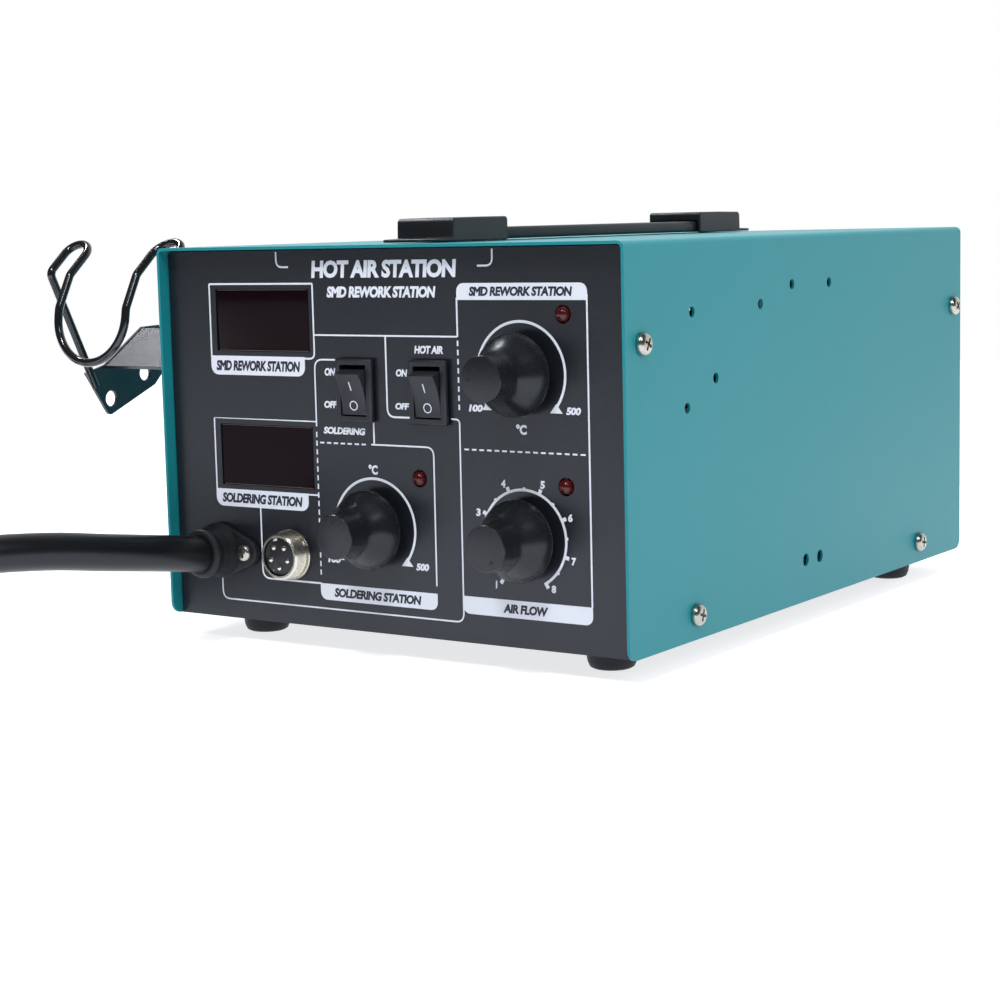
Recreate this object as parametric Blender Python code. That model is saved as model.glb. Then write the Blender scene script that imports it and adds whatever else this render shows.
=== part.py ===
"""Hot air station with a soldering channel: a folded sheet case that holds a mains transformer, an air pump
and a control board behind a black front panel, a wire holder on its left side, a strap handle on top, and an
air hose that leaves the panel and lies coiled at the left with its handpiece.

Station coordinates: x runs across the front panel, y runs from the cover's front edge to the rear, and z is the
height above the table. The STATION empty moves them all, so that the world origin is at the middle of the
object's outline, on the table."""

import bpy
import bmesh
from math import atan2, cos, hypot, pi, radians, sin
from mathutils import Matrix, Vector

# ---- Driving dimensions, in metres -------------------------------------------------------------------------
CASE_W = 0.187
CASE_D = 0.2588
CASE_H = 0.1276
SHEET = 0.001
GAP = 0.0003
FOOT_H = 0.0078
COVER_BEND = 0.0022
COVER_CORNER = 0.004

# The tray is a bent sheet inside the cover: front panel, floor, rear panel and short side flanges.
TRAY_HALF = CASE_W / 2 - SHEET - GAP
TRAY_TOP = FOOT_H + CASE_H - SHEET - 0.0004
PANEL_Y = 0.0044
PANEL_T = 0.0012
PANEL_BACK = PANEL_Y + PANEL_T
REAR_Y = CASE_D - PANEL_Y
FLANGE_Z = FOOT_H + 0.015
FLANGE_Y = 0.0186

WALL = CASE_W / 2
COVER_TOP = FOOT_H + CASE_H

# Where the panel's parts sit, as (x, z).
HOT_AIR_KNOB = (0.0535, FOOT_H + 0.0868)
AIR_FLOW_KNOB = (0.0535, FOOT_H + 0.0350)
SOLDER_KNOB = (-0.0053, FOOT_H + 0.0350)
HOT_AIR_SWITCH = (0.0184, FOOT_H + 0.0803)
SOLDER_SWITCH = (-0.0114, FOOT_H + 0.0803)
HOT_AIR_WINDOW = (-0.0509, FOOT_H + 0.1029)
SOLDER_WINDOW = (-0.0509, FOOT_H + 0.0570)
LAMPS = {
    "lamp_hot_air": (0.0690, FOOT_H + 0.1055),
    "lamp_air_flow": (0.0690, FOOT_H + 0.0523),
    "lamp_soldering": (0.0130, FOOT_H + 0.0523),
}
SOCKET = (-0.0415, FOOT_H + 0.0240)
GLAND = (-0.0723, FOOT_H + 0.0236)
GLAND_SCREW_REACH = 0.0123
WINDOW_W = 0.0406
WINDOW_H = 0.0210

# Knob, pot and switch sizes.
KNOB_R = 0.0132
KNOB_FACE_Y = -0.0183
SHAFT_R = 0.0030
BORE_R = 0.0031
ROCKER_TILT = radians(17.0)
ROCKER_HALF = 0.0050

# Cover screws, as (y, z), the same on both sides.
SCREW_R = 0.0015
HOLE_R = 0.0018
HEAD_R = 0.0036
COVER_SCREWS = {
    "front_upper": (0.0098, FOOT_H + 0.0963),
    "front_lower": (0.0417, FOOT_H + 0.0082),
    "rear_upper": (0.2506, FOOT_H + 0.0970),
    "rear_lower": (0.2175, FOOT_H + 0.0078),
}
# Open fixing holes in the cover's sides, as (y, z, radius); the left side also has the holder's two.
OPEN_HOLES = (
    (0.0412, FOOT_H + 0.1045, 0.0018),
    (0.0877, FOOT_H + 0.1049, 0.0018),
    (0.1109, FOOT_H + 0.1106, 0.0018),
    (0.1397, FOOT_H + 0.1102, 0.0018),
    (0.1204, FOOT_H + 0.0146, 0.0023),
    (0.1315, FOOT_H + 0.0144, 0.0023),
)
SPARE_HOLDER_HOLES = ((0.0564, FOOT_H + 0.0827), (0.0376, FOOT_H + 0.0746))
HOLDER_HOLES = ((0.0561, FOOT_H + 0.0796), (0.0373, FOOT_H + 0.0712))

FEET = {
    "foot_front_left": (-0.0710, 0.0250),
    "foot_front_right": (0.0720, 0.0250),
    "foot_rear_left": (-0.0760, 0.2240),
    "foot_rear_right": (0.0780, 0.2240),
}

# Handle on the cover.
HANDLE_X = 0.0009
HANDLE_HALF = 0.0114
HANDLE_H = 0.0082
CLIP_FRONT = (0.0275, 0.0600)
CLIP_REAR = (0.1945, 0.2277)
STRAP_HALF = 0.0098
STRAP_Z = (COVER_TOP + 0.0006, COVER_TOP + 0.0046)

# Wire holder on the left side.
HOLDER_SHEET = 0.0012
HOLDER_IN = -WALL - GAP
HOLDER_OUT = -0.1555
WIRE_R = 0.0015
HOLDER_MID = (HOLDER_IN + HOLDER_OUT) / 2
LEG_REACH = (HOLDER_IN - HOLDER_OUT) / 2 - HOLDER_SHEET - GAP - WIRE_R
CRADLE_REACH = 0.0163

# Air hose: its coil lies flat on the table, and its free part runs from the gland over the coil's outer turn.
HOSE_R = 0.0062
COIL_CENTRE = (-0.1980, -0.1060)
COIL_START_R = 0.0520
COIL_PITCH = 2 * HOSE_R
COIL_START = radians(-57)
COIL_END = radians(-120 - 720)
TAIL_STRAIGHT = 0.0370
TAIL_BEND_R = 0.0520
TAIL_BEND = radians(60)
TAIL_LENGTH = TAIL_STRAIGHT + TAIL_BEND_R * TAIL_BEND

# Handpiece, along its own axis from the hose's end.
GRIP_R = 0.0152
RING_R = 0.0165
BOOT_LENGTH = 0.0300
SHELL_LENGTH = 0.1120
BARREL_R = 0.0110
BARREL_OUT = 0.0480

# The world origin is the middle of the outline without the hose, on the table.
MIDDLE = (-0.1080, 0.0740)

UNIT = {"X": Vector((1, 0, 0)), "Y": Vector((0, 1, 0)), "Z": Vector((0, 0, 1))}


# ---- Scene and materials -----------------------------------------------------------------------------------
def clear_scene():
    for obj in list(bpy.data.objects):
        bpy.data.objects.remove(obj, do_unlink=True)


def finish(name, colour, roughness, metallic=0.0):
    made = bpy.data.materials.new(name)
    made.use_nodes = True
    shader = made.node_tree.nodes["Principled BSDF"]
    shader.inputs["Base Color"].default_value = (*colour, 1.0)
    shader.inputs["Roughness"].default_value = roughness
    shader.inputs["Metallic"].default_value = metallic
    return made


clear_scene()
STATION = bpy.data.objects.new("station_origin", None)
STATION.location = (-MIDDLE[0], -MIDDLE[1], 0.0)
bpy.context.scene.collection.objects.link(STATION)

TEAL = finish("teal_paint", (0.030, 0.240, 0.270), 0.38)
BLACK_PAINT = finish("black_paint", (0.020, 0.022, 0.026), 0.45)
BLACK_SHEET = finish("black_sheet", (0.030, 0.031, 0.034), 0.40)
BLACK_WIRE = finish("black_wire", (0.015, 0.015, 0.016), 0.25)
BLACK_PLASTIC = finish("black_plastic", (0.018, 0.018, 0.020), 0.35)
BLACK_RUBBER = finish("black_rubber", (0.016, 0.016, 0.017), 0.60)
SMOKED = finish("smoked_window", (0.030, 0.010, 0.012), 0.10)
RED_LENS = finish("red_lens", (0.180, 0.010, 0.012), 0.15)
NICKEL = finish("nickel", (0.720, 0.690, 0.620), 0.22, 1.0)
STEEL = finish("steel", (0.560, 0.570, 0.580), 0.30, 1.0)
BOARD_GREEN = finish("board_green", (0.020, 0.120, 0.050), 0.45)
CERAMIC = finish("ceramic", (0.800, 0.780, 0.740), 0.55)


# ---- Modelling helpers -------------------------------------------------------------------------------------
def block(x, y, z, bevel=0.0, segments=2):
    """A box between pairs of limits, with its edges rounded if asked."""
    bm = bmesh.new()
    bmesh.ops.create_cube(bm, size=1.0)
    size = Vector((x[1] - x[0], y[1] - y[0], z[1] - z[0]))
    middle = Vector((x[0] + x[1], y[0] + y[1], z[0] + z[1])) / 2
    bmesh.ops.scale(bm, verts=bm.verts, vec=size)
    bmesh.ops.translate(bm, verts=bm.verts, vec=middle)
    if bevel:
        bmesh.ops.bevel(bm, geom=bm.edges[:], offset=bevel, segments=segments, profile=0.5, affect="EDGES")
    return bm


def place(axis, along, a, b):
    """A point at a distance along one axis, with its two other coordinates in order."""
    return {"X": (along, a, b), "Y": (a, along, b), "Z": (a, b, along)}[axis]


def prism(outline, axis, low, high):
    """A flat outline pushed along an axis."""
    bm = bmesh.new()
    face = bm.faces.new([bm.verts.new(place(axis, low, a, b)) for a, b in outline])
    pushed = bmesh.ops.extrude_face_region(bm, geom=[face])
    moved = [v for v in pushed["geom"] if isinstance(v, bmesh.types.BMVert)]
    bmesh.ops.translate(bm, verts=moved, vec=UNIT[axis] * (high - low))
    return bm


def turned(profile, axis, centre, steps=24, ring=False):
    """A profile of (distance along the axis, radius) pairs, turned all the way round."""
    bm = bmesh.new()
    side = {"X": "Z", "Y": "X", "Z": "X"}[axis]
    points = [Vector(centre) + UNIT[axis] * s + UNIT[side] * r for s, r in profile]
    verts = [bm.verts.new(p) for p in points]
    for a, b in zip(verts, verts[1:] + verts[:1] if ring else verts[1:]):
        bm.edges.new((a, b))
    bmesh.ops.spin(
        bm, geom=bm.verts[:] + bm.edges[:], cent=centre, axis=UNIT[axis], angle=2 * pi, steps=steps, use_merge=True
    )
    return bm


def rod(axis, low, high, a, b, radius, steps=16):
    """A round bar along an axis."""
    return turned([(low, 0), (low, radius), (high, radius), (high, 0)], axis, place(axis, 0, a, b), steps)


def arc(centre, radius, start, end, steps):
    return [
        (centre[0] + radius * cos(start + (end - start) * i / steps),
         centre[1] + radius * sin(start + (end - start) * i / steps))
        for i in range(steps + 1)
    ]


def rounded_outline(centre, width, height, radius, steps=3):
    """A rectangle with round corners, anticlockwise."""
    a, b = width / 2 - radius, height / 2 - radius
    outline = []
    for turn, (sx, sy) in enumerate(((1, 1), (-1, 1), (-1, -1), (1, -1))):
        corner = (centre[0] + sx * a, centre[1] + sy * b)
        outline += arc(corner, radius, turn * pi / 2, (turn + 1) * pi / 2, steps)
    return outline


def joined(shapes):
    """Several separate shapes in one mesh."""
    bm = bmesh.new()
    for shape in shapes:
        bmesh.ops.remove_doubles(shape, verts=shape.verts, dist=1e-6)
        bmesh.ops.recalc_face_normals(shape, faces=shape.faces)
        part = bpy.data.meshes.new("shape")
        shape.to_mesh(part)
        shape.free()
        bm.from_mesh(part)
        bpy.data.meshes.remove(part)
    return bm


def add_object(name, bm, pivot):
    bmesh.ops.translate(bm, verts=bm.verts, vec=-Vector(pivot))
    mesh = bpy.data.meshes.new(name)
    bm.to_mesh(mesh)
    bm.free()
    obj = bpy.data.objects.new(name, mesh)
    obj.parent = STATION
    obj.location = pivot
    bpy.context.scene.collection.objects.link(obj)
    return obj


def add_piece(name, bm, material, pivot=(0, 0, 0)):
    """One closed solid with its material; a moving piece has its pivot on its joint's axis."""
    obj = add_object(name, joined([bm]), pivot)
    obj.data.materials.append(material)
    obj.data.shade_smooth()
    obj.data.set_sharp_from_angle(angle=radians(35))
    return obj


def reshape(obj, shapes, operation, name):
    """Cuts a piece with other shapes, or joins them to it."""
    helper = add_object(name, joined(shapes), (0, 0, 0))
    helper.hide_render = True
    helper.display_type = "WIRE"
    made = obj.modifiers.new(name, "BOOLEAN")
    made.operation = operation
    made.solver = "EXACT"
    made.object = helper


def add_tube(name, points, radius, material, resolution=3):
    """A round bar along a line of points."""
    curve = bpy.data.curves.new(name, "CURVE")
    curve.dimensions = "3D"
    spline = curve.splines.new("POLY")
    spline.points.add(len(points) - 1)
    for knot, p in zip(spline.points, points):
        knot.co = (*p, 1.0)
    curve.bevel_depth = radius
    curve.bevel_resolution = resolution
    curve.use_fill_caps = True
    curve.materials.append(material)
    obj = bpy.data.objects.new(name, curve)
    obj.parent = STATION
    bpy.context.scene.collection.objects.link(obj)
    return obj


def smooth_curve(route, spacing):
    """Points at a steady spacing on a smooth curve through the route's points."""
    route = [Vector(p) for p in route]
    ends = [2 * route[0] - route[1], *route, 2 * route[-1] - route[-2]]
    fine = []
    for p0, p1, p2, p3 in zip(ends, ends[1:], ends[2:], ends[3:]):
        for i in range(40):
            t = i / 40
            fine.append(
                (2 * p1 + (p2 - p0) * t + (2 * p0 - 5 * p1 + 4 * p2 - p3) * t**2
                 + (3 * p1 - p0 - 3 * p2 + p3) * t**3) / 2
            )
    fine.append(route[-1])
    kept, walked = [fine[0]], 0.0
    for a, b in zip(fine, fine[1:]):
        walked += (b - a).length
        if walked >= spacing:
            kept.append(b)
            walked = 0.0
    kept[-1] = fine[-1]
    return kept


def bent_line(corners, radius, steps=4):
    """A line through corners, with each inner corner turned into a bend."""
    corners = [Vector(p) for p in corners]
    line = [corners[0]]
    for before, corner, after in zip(corners, corners[1:], corners[2:]):
        into, out = (before - corner).normalized(), (after - corner).normalized()
        reach = radius / max(0.05, ((1 - into.dot(out)) / (1 + into.dot(out))) ** 0.5)
        a, b = corner + into * reach, corner + out * reach
        for i in range(steps + 1):
            t = i / steps
            line.append(a * (1 - t) ** 2 + corner * 2 * t * (1 - t) + b * t**2)
    return line + [corners[-1]]


# ---- Case --------------------------------------------------------------------------------------------------
def side_holes(spots, side, steps=12):
    """Round holes through one side wall; a spot is (y, z, radius)."""
    low, high = sorted((side * (WALL - 0.003), side * (WALL + 0.002)))
    return [rod("X", low, high, y, z, r, steps) for y, z, r in spots]


def top_cover():
    """Teal U of bent sheet: the top and both sides."""
    r_in = COVER_BEND - SHEET
    left, right = (-WALL + COVER_BEND, COVER_TOP - COVER_BEND), (WALL - COVER_BEND, COVER_TOP - COVER_BEND)
    outline = [(WALL, FOOT_H)]
    outline += arc(right, COVER_BEND, 0, pi / 2, 6) + arc(left, COVER_BEND, pi / 2, pi, 6)
    outline += [(-WALL, FOOT_H), (-WALL + SHEET, FOOT_H)]
    outline += arc(left, r_in, pi, pi / 2, 3) + arc(right, r_in, pi / 2, 0, 3) + [(WALL - SHEET, FOOT_H)]
    bm = prism(outline, "Y", 0.0, CASE_D)
    corners = [
        e for e in bm.edges
        if all(abs(v.co.z - FOOT_H) < 1e-6 for v in e.verts) and abs(e.verts[0].co.y - e.verts[1].co.y) < 1e-6
    ]
    bmesh.ops.bevel(bm, geom=corners, offset=COVER_CORNER, segments=4, profile=0.5, affect="EDGES")
    cover = add_piece("top_cover", bm, TEAL)
    holes = [(y, z, HOLE_R) for y, z in COVER_SCREWS.values()] + list(OPEN_HOLES)
    right_spots = holes + [(y, z, HOLE_R) for y, z in SPARE_HOLDER_HOLES]
    left_spots = holes + [(y, z, HOLE_R) for y, z in HOLDER_HOLES]
    reshape(cover, side_holes(right_spots, 1) + side_holes(left_spots, -1), "DIFFERENCE", "cover_holes")


def through_panel(x, z, width, height):
    return block((x - width / 2, x + width / 2), (PANEL_Y - 0.002, PANEL_BACK + 0.002), (z - height / 2, z + height / 2))


def chassis_tray():
    """Black tray: front panel, floor, rear panel and the flanges that the cover is screwed to."""
    low, high = TRAY_TOP - COVER_BEND / 2, TRAY_HALF - COVER_BEND / 2
    outline = [
        (-TRAY_HALF, FOOT_H), (TRAY_HALF, FOOT_H), (TRAY_HALF, low), (high, TRAY_TOP), (-high, TRAY_TOP), (-TRAY_HALF, low),
    ]
    tray = add_piece("chassis_tray", prism(outline, "Y", PANEL_Y, REAR_Y), BLACK_PAINT)
    inner = block(
        (-TRAY_HALF + SHEET, TRAY_HALF - SHEET), (PANEL_BACK, REAR_Y - SHEET), (FOOT_H + SHEET, TRAY_TOP + 0.005)
    )
    reshape(tray, [inner], "DIFFERENCE", "tray_inside")
    sides = block((-0.1, 0.1), (FLANGE_Y, CASE_D - FLANGE_Y), (FLANGE_Z, TRAY_TOP + 0.005))
    reshape(tray, [sides], "DIFFERENCE", "tray_open_sides")

    front_low, front_high = PANEL_Y - 0.002, PANEL_BACK + 0.002
    cuts = [through_panel(*at, WINDOW_W, WINDOW_H) for at in (HOT_AIR_WINDOW, SOLDER_WINDOW)]
    cuts += [through_panel(*at, 0.0136, 0.0196) for at in (HOT_AIR_SWITCH, SOLDER_SWITCH)]
    cuts += [rod("Y", front_low, front_high, *at, 0.0038) for at in (HOT_AIR_KNOB, AIR_FLOW_KNOB, SOLDER_KNOB)]
    cuts += [rod("Y", front_low, front_high, *at, 0.0029) for at in LAMPS.values()]
    cuts.append(rod("Y", front_low, front_high, *SOCKET, 0.0082, 24))
    cuts.append(rod("Y", front_low, front_high, *GLAND, 0.0068, 24))
    for side in (-1, 1):
        cuts.append(rod("Y", front_low, front_high, GLAND[0] + side * GLAND_SCREW_REACH, GLAND[1], HOLE_R, 12))
    cuts += [rod("Z", FOOT_H - 0.002, FOOT_H + 0.003, *at, 0.0023, 12) for at in FEET.values()]
    cuts += rear_cuts()
    for side in (-1, 1):
        low, high = sorted((side * (TRAY_HALF - 0.003), side * (TRAY_HALF + 0.002)))
        cuts += [rod("X", low, high, y, z, HOLE_R, 12) for y, z in COVER_SCREWS.values()]
    reshape(tray, cuts, "DIFFERENCE", "tray_holes")


INLET = (0.0480, FOOT_H + 0.0330)
FUSE = (0.0000, FOOT_H + 0.0330)


def rear_cuts():
    """Openings of the rear panel: mains inlet, fuse and two rows of vent slots."""
    low, high = REAR_Y - 0.004, REAR_Y + 0.002
    cuts = [block((INLET[0] - 0.0139, INLET[0] + 0.0139), (low, high), (INLET[1] - 0.0102, INLET[1] + 0.0102))]
    cuts.append(rod("Y", low, high, *FUSE, 0.0064))
    for row in (FOOT_H + 0.078, FOOT_H + 0.103):
        for i in range(8):
            x = -0.063 + 0.018 * i
            cuts.append(block((x - 0.0015, x + 0.0015), (low, high), (row - 0.0085, row + 0.0085)))
    return cuts


def pan_screw(name, axis, face, direction, a, b, shank=0.007, head=HEAD_R, steps=16):
    """Pan head screw, whose head lies on a face and whose shank goes into it."""
    d = direction
    rim, top = face + d * (GAP + head * 0.22), face + d * (GAP + head * 0.60)
    profile = [
        (top, 0), (top - d * 0.0001, head * 0.45), (top - d * 0.0005, head * 0.80), (rim, head), (face + d * GAP, head),
        (face + d * GAP, SCREW_R), (face - d * shank, SCREW_R), (face - d * (shank + 0.001), 0),
    ]
    add_piece(name, turned(profile, axis, place(axis, 0, a, b), steps), NICKEL)


def cover_screws():
    for side, word in ((-1, "left"), (1, "right")):
        for spot, (y, z) in COVER_SCREWS.items():
            pan_screw(f"cover_screw_{word}_{spot}", "X", side * WALL, side, y, z)


def feet():
    """Tapered rubber feet, each with a stem pushed through the tray's floor."""
    top = FOOT_H - GAP
    profile = [
        (0.0018, 0), (0.0018, 0.0028), (0.0, 0.0034), (0.0, 0.0060), (0.0006, 0.0072), (0.0022, 0.0079),
        (top - 0.0006, 0.0087), (top, 0.0084), (top, 0.0019), (FOOT_H + 0.0040, 0.0019), (FOOT_H + 0.0045, 0),
    ]
    for name, (x, y) in FEET.items():
        add_piece(name, turned(profile, "Z", (x, y, 0), 24), BLACK_RUBBER)


# ---- Handle ------------------------------------------------------------------------------------------------
def handle_clip(name, ends, outward):
    """Plastic clip that holds one end of the strap; its tongue points away from the strap."""
    low, high = COVER_TOP + GAP, COVER_TOP + HANDLE_H
    y0, y1 = (ends[0], ends[1]) if outward < 0 else (ends[1], ends[0])
    step = 0.0010 if outward < 0 else -0.0010
    outline = [
        (y0 - step * 8.0, low), (y0 - step * 8.0, low + 0.0010), (y0, low + 0.0012), (y0 + step * 0.2, high - 0.0012),
        (y0 + step * 1.2, high - 0.0002), ((y0 + y1) / 2, high), (y1 - step * 0.8, high), (y1, high - 0.0008), (y1, low),
    ]
    sides = (HANDLE_X - HANDLE_HALF, HANDLE_X + HANDLE_HALF)
    clip = add_piece(name, prism(outline, "X", *sides), BLACK_PLASTIC)
    pocket_y = sorted((y1 - step * 21.0, y1 + step * 1.0))
    pocket = block(
        (HANDLE_X - STRAP_HALF - GAP, HANDLE_X + STRAP_HALF + GAP), pocket_y, (COVER_TOP - 0.001, STRAP_Z[1] + GAP)
    )
    reshape(clip, [pocket], "DIFFERENCE", f"{name}_pocket")


def handle():
    handle_clip("handle_clip_front", CLIP_FRONT, -1)
    handle_clip("handle_clip_rear", CLIP_REAR, 1)
    strap = block(
        (HANDLE_X - STRAP_HALF, HANDLE_X + STRAP_HALF), (CLIP_FRONT[1] - 0.0195, CLIP_REAR[0] + 0.0195), STRAP_Z, 0.0008
    )
    add_piece("handle_strap", strap, BLACK_RUBBER)


# ---- Front panel parts -------------------------------------------------------------------------------------
def display(kind, at):
    """Smoked window held behind the panel, with its face a little inside the opening, and its digit display."""
    x, z = at
    half_w, half_h = WINDOW_W / 2 - GAP, WINDOW_H / 2 - GAP
    plug = block((x - half_w, x + half_w), (PANEL_Y + 0.0004, PANEL_BACK + 0.0010), (z - half_h, z + half_h))
    window = add_piece(f"{kind}_display_window", plug, SMOKED)
    rim = block((x - 0.0222, x + 0.0222), (PANEL_BACK + GAP, PANEL_BACK + 0.0015), (z - 0.0121, z + 0.0121))
    reshape(window, [rim], "UNION", f"{kind}_window_rim")
    module = block((x - 0.0186, x + 0.0186), (PANEL_BACK + 0.0020, BOARD_Y[0] - GAP), (z - 0.0092, z + 0.0092), 0.0003, 1)
    add_piece(f"{kind}_digit_display", module, BLACK_PLASTIC)


BOARD_Y = (0.0185, 0.0201)


def control_board():
    """Board behind the panel, with openings for the switches, the socket and the air tube."""
    board = add_piece("control_board", block((-0.086, 0.086), BOARD_Y, (FOOT_H + 0.006, FOOT_H + 0.121)), BOARD_GREEN)
    y = (BOARD_Y[0] - 0.002, BOARD_Y[1] + 0.002)
    switches = block((-0.0220, 0.0280), y, (FOOT_H + 0.0675, FOOT_H + 0.0930))
    plumbing = block((-0.0850, -0.0290), y, (FOOT_H + 0.0110, FOOT_H + 0.0370))
    reshape(board, [switches, plumbing], "DIFFERENCE", "board_openings")


def knob_profile():
    """Bell shape: a slim grip, a hollow neck and a domed skirt, with the shaft's bore and a recess behind."""
    face = KNOB_FACE_Y
    return [
        (face, 0), (face, 0.0067), (face + 0.0005, 0.0073), (-0.0124, 0.0075), (-0.0102, 0.0080), (-0.0086, 0.0088),
        (-0.0070, 0.0099), (-0.0054, 0.0110), (-0.0038, 0.0120), (-0.0023, 0.0128), (-0.0010, KNOB_R), (0, KNOB_R),
        (0, 0.0098), (-0.0040, 0.0098), (-0.0040, SHAFT_R + GAP), (-0.0125, SHAFT_R + GAP), (-0.0125, 0),
    ]


def knob_set(kind, at):
    """Knob, its shaft, and the potentiometer that carries them."""
    centre = (at[0], 0, at[1])
    add_piece(f"{kind}_knob", turned(knob_profile(), "Y", centre, 32), BLACK_PLASTIC, centre)
    shaft = turned([(-0.0120, 0), (-0.0120, SHAFT_R), (0.0140, SHAFT_R), (0.0140, 0)], "Y", centre, 24)
    add_piece(f"{kind}_shaft", shaft, STEEL, centre)
    pot = [
        (0.0005, BORE_R), (0.0005, 0.0035), (0.0017, 0.0035), (0.0017, 0.0056), (PANEL_Y - GAP, 0.0056),
        (PANEL_Y - GAP, 0.0035), (PANEL_BACK + GAP, 0.0035), (PANEL_BACK + GAP, 0.0084), (0.0150, 0.0084),
        (0.0150, 0.0060), (BOARD_Y[0] - GAP, 0.0060), (BOARD_Y[0] - GAP, 0), (0.0144, 0), (0.0144, BORE_R),
    ]
    add_piece(f"{kind}_potentiometer", turned(pot + [pot[0]], "Y", centre, 24), STEEL)


def switch(kind, at):
    """Rocker switch: a housing pushed through the panel and a rocker on its pins, resting in the off position."""
    x, z = at
    front = PANEL_Y - GAP
    housing = add_piece(
        f"{kind}_switch_housing", block((x - 0.0075, x + 0.0075), (front - 0.0020, front), (z - 0.0105, z + 0.0105), 0.0005, 1),
        BLACK_PLASTIC,
    )
    body = block((x - 0.0065, x + 0.0065), (front - 0.0010, 0.0255), (z - 0.0095, z + 0.0095))
    reshape(housing, [body], "UNION", f"{kind}_switch_body")
    pocket = block(
        (x - ROCKER_HALF - GAP, x + ROCKER_HALF + GAP), (front - 0.0040, front + 0.0080), (z - 0.0084, z + 0.0084)
    )
    reshape(housing, [pocket], "DIFFERENCE", f"{kind}_switch_pocket")
    pins = rod("X", x - ROCKER_HALF - 0.0012, x + ROCKER_HALF + 0.0012, PANEL_Y, z, 0.0014, 12)
    reshape(housing, [pins], "DIFFERENCE", f"{kind}_switch_pin_holes")

    pivot = Vector((x, PANEL_Y, z))
    upper = [(-0.0041, 0.00715), (-0.0035, 0.0049), (-0.0031, 0.0025)]
    lower = [(a, -b) for a, b in reversed(upper)]
    outline = upper + [(-0.0030, 0.0)] + lower
    outline += [(0.0, -0.0072), (0.0028, -0.0066), (0.0042, -0.0020), (0.0042, 0.0020), (0.0028, 0.0066), (0.0, 0.0072)]
    paddle = prism(outline, "X", -ROCKER_HALF, ROCKER_HALF)
    tilt = Matrix.Rotation(ROCKER_TILT, 4, "X")
    bmesh.ops.transform(paddle, matrix=Matrix.Translation(pivot) @ tilt, verts=paddle.verts)
    rocker = add_piece(f"{kind}_rocker", paddle, BLACK_PLASTIC, pivot)
    pins = rod("X", x - ROCKER_HALF - 0.0009, x + ROCKER_HALF + 0.0009, pivot.y, z, 0.0011, 12)
    reshape(rocker, [pins], "UNION", f"{kind}_rocker_pins")


def lamps():
    """Red indicator lamps, each a domed lens with a rim behind the panel."""
    profile = [
        (-0.0020, 0), (-0.0018, 0.0009), (-0.0012, 0.0017), (-0.0002, 0.0023), (0.0010, 0.0025),
        (PANEL_T + GAP, 0.0025), (PANEL_T + GAP, 0.0033), (0.0026, 0.0033), (0.0026, 0.0025), (0.0090, 0.0025), (0.0090, 0),
    ]
    for name, (x, z) in LAMPS.items():
        add_piece(name, turned(profile, "Y", (x, PANEL_Y, z), 16), RED_LENS)


def round_socket():
    """Round five-way socket for a soldering iron: threaded shell, insert and lock nut."""
    x, z = SOCKET
    front = PANEL_Y - GAP
    shell = [
        (-0.0028, 0.0066), (-0.0028, 0.0074), (-0.0024, 0.0078), (front - 0.0012, 0.0078), (front - 0.0012, 0.0087),
        (front, 0.0087), (front, 0.0078), (0.0140, 0.0078), (0.0140, 0.0066),
    ]
    add_piece("socket_shell", turned(shell, "Y", (x, 0, z), 32, ring=True), NICKEL)
    insert = [(-0.0014, 0), (-0.0014, 0.0063), (0.0150, 0.0063), (0.0150, 0)]
    add_piece("socket_insert", turned(insert, "Y", (x, 0, z), 24), BLACK_PLASTIC)
    nut = prism(arc(SOCKET, 0.0112, 0, 2 * pi, 6)[:-1], "Y", PANEL_BACK + GAP, PANEL_BACK + 0.0030)
    ring = add_piece("socket_nut", nut, NICKEL)
    reshape(ring, [rod("Y", 0, 0.02, x, z, 0.0082, 24)], "DIFFERENCE", "socket_nut_bore")


def hose_gland():
    """Rubber gland with two screw lobes; the hose is moulded into its hub, and its spigot takes the air tube."""
    x, z = GLAND
    front = PANEL_Y - GAP
    reach = GLAND_SCREW_REACH
    lobe, hub = 0.0048, 0.0096
    lean = pi / 2 - atan2(hub - lobe, reach)
    outline = arc((x + reach, z), lobe, -lean, lean, 6) + arc((x, z), hub, lean, pi - lean, 6)
    outline += arc((x - reach, z), lobe, pi - lean, pi + lean, 6) + arc((x, z), hub, pi + lean, 2 * pi - lean, 6)
    gland = add_piece("hose_gland", prism(outline, "Y", front - 0.0022, front), BLACK_RUBBER)
    body = [
        (-0.0080, 0), (-0.0080, 0.0070), (-0.0077, 0.0079), (-0.0068, 0.0084), (-0.0055, 0.0082), (-0.0050, 0.0074),
        (-0.0040, 0.0073), (front - 0.0030, 0.0082), (front - 0.0010, 0.0090), (front - 0.0010, 0.0065),
        (0.0135, 0.0065), (0.0135, 0),
    ]
    reshape(gland, [turned(body, "Y", (x, 0, z), 24)], "UNION", "gland_hub")
    holes = [rod("Y", -0.002, 0.01, x + side * reach, z, HOLE_R, 12) for side in (-1, 1)]
    reshape(gland, holes, "DIFFERENCE", "gland_screw_holes")
    for side, word in ((-1, "left"), (1, "right")):
        pan_screw(f"gland_screw_{word}", "Y", front - 0.0022, -1, x + side * reach, z, head=0.0029)


# ---- Inside the case ---------------------------------------------------------------------------------------
def transformer():
    """Mains transformer: a stacked core with its winding standing out in front and behind."""
    low = FOOT_H + SHEET + GAP
    y0, y1, z0, z1 = 0.165, 0.205, low + 0.012, low + 0.046
    outline = [
        (y0, low), (y1, low), (y1, z0), (y1 + 0.013, z0), (y1 + 0.013, z1), (y1, z1), (y1, low + 0.056),
        (y0, low + 0.056), (y0, z1), (y0 - 0.013, z1), (y0 - 0.013, z0), (y0, z0),
    ]
    add_piece("transformer", prism(outline, "X", -0.082, -0.016), STEEL)


PUMP_OUTLET = (0.0250, 0.0520)


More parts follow.
